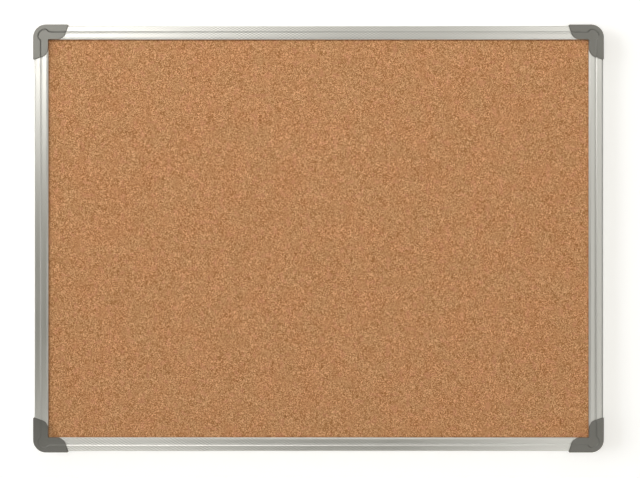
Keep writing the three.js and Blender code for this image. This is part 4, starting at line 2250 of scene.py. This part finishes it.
    @staticmethod
    def _stage(name: str, bm: BMesh, material: Material) -> None:
        """Puts a piece of the studio in the scene, from its mesh, which is used up."""
        obj = show_mesh(name, bm, material)
        obj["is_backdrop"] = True

    def _card(
        self, name: str, right: float, up: float, width: float, height: float, glow: float,
    ) -> Softbox:
        """A softbox round the camera, which shows only where it is mirrored."""
        return Softbox(name, (right, -self.lamp_plane, up), width, height, glow, shine=Shine.MIRRORED)

    def _lamps(self) -> list[Softbox | Sweep]:
        """Two sweeps, two lamps above, one at the left, softboxes round the camera and two at the rear.

        Returns:
            The lamps.
        """
        return [
            Sweep("front sweep", (0.0, 1.0, 0.0), 0.335, math.radians(30), (1.0, 1.0, 1.0)),
            Sweep("left sweep", (0.92, 0.38, -0.08), 0.24, math.radians(45), (0.96, 1.0, 1.06)),
            Softbox("above", (-0.2, -0.42, 0.60), 1.1, 0.35, 1.0, (-0.05, 0.0, 0.0), Shine.MATT),
            Softbox("line light", (-0.33, -0.31, 0.72), 0.65, 0.2, 2.0, (-0.25, 0.0, -0.2), Shine.MIRRORED),
            Softbox("side light", (-1.15, -0.55, 0.38), 0.3, 0.3, 2.2, (0.25, 0.0, 0.15), Shine.MIRRORED),
            self._card("key core", -0.56, 0.47, 0.30, 0.28, 5.35),
            self._card("key", -0.42, 0.55, 0.70, 0.50, 1.14),
            self._card("left middle", -0.60, 0.19, 0.22, 0.22, 0.36),
            self._card("upper middle", 0.15, 0.80, 0.50, 0.40, 1.6),
            self._card("upper right", 0.62, 0.72, 0.45, 0.45, 2.1),
            self._card("right", 0.66, 0.05, 0.30, 0.90, 1.20),
            self._card("lower right", 0.64, -0.80, 0.50, 0.40, 2.65),
            self._card("lower left", -0.52, -0.80, 0.60, 0.40, 2.9),
            Softbox("rear left", (-1.2, 1.6, 0.8), 1.0, 1.0, 7.0, (0.0, 0.0, 0.0)),
            Softbox("rear right", (1.3, 1.5, 0.5), 1.0, 1.0, 3.0, (0.0, 0.0, 0.0)),
        ]


# Assembly

CORNER_NODES = {
    Side.BOTTOM: "corner_bottom_left",
    Side.RIGHT: "corner_bottom_right",
    Side.TOP: "corner_top_right",
    Side.LEFT: "corner_top_left",
}
RAIL_FINISHES = {
    Side.BOTTOM: AluminiumFinish(Grain.ALONG_X, hatch=0.22, lean=0.5),
    Side.RIGHT: AluminiumFinish(Grain.ALONG_Z, hatch=0.05, lean=0.0),
    Side.TOP: AluminiumFinish(Grain.ALONG_X, hatch=0.45, lean=0.0, hatch_from=-0.15),
    Side.LEFT: AluminiumFinish(Grain.ALONG_Z, hatch=0.03, lean=0.0),
}
RAIL_ENDS = {
    Side.BOTTOM: ("left", "right"),
    Side.RIGHT: ("bottom", "top"),
    Side.TOP: ("right", "left"),
    Side.LEFT: ("top", "bottom"),
}


def frame_pieces(plan: BoardPlan, section: RailSection) -> list[Piece]:
    """Builds the frame: rails, corner mouldings, screws and hangers.

    Args:
        plan: The board's size.
        section: The rails' section.

    Returns:
        The pieces in order round the board.
    """
    depths, cap = Depths(), CapSizes()
    screw_sizes, hanger_sizes = ScrewSizes(), HangerSizes()
    plastic, zinc = MouldedFinish().material(), ZincFinish().material()
    screw = CornerScrew(screw_sizes)
    built_screw = screw.build()
    pieces = []
    for side in Side:
        rail = FrameRail(side, plan, depths, section, screw_sizes)
        pieces.append(rail.dress(RAIL_FINISHES[side]))
        moulding = CornerMoulding(CORNER_NODES[side], side, plan, depths, section, cap, screw_sizes)
        pieces.append(moulding.dress(plastic))
        for end, place in zip(RAIL_ENDS[side], rail.screw_places()):
            seat = rail.frame @ Matrix.Translation((place, 0, section.chamber_centre))
            pieces.append(screw.dress(f"screw_{side.rail_node}_{end}", seat, built_screw, zinc))
            if side.level:
                pieces.append(KeyholeHanger(side, end, plan, section, hanger_sizes).dress(zinc))
    built_screw.free()
    return pieces


def main() -> None:
    """Loads the frame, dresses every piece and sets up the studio."""
    logging.basicConfig(level=logging.INFO, format="%(name)s: %(message)s")
    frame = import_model()
    plan = BoardPlan.from_frame()
    Studio(plan).set_up()
    section = RailSection()
    cover = section.proud + section.face
    panel = CorkPanel(PanelSizes(), Vector((plan.width / 2 - cover, plan.height / 2 - cover)))
    for piece in [*panel.dress(frame["nodes"]["softboard_core"]), *frame_pieces(plan, section)]:
        piece.place()


if __name__ == "__main__":
    main()
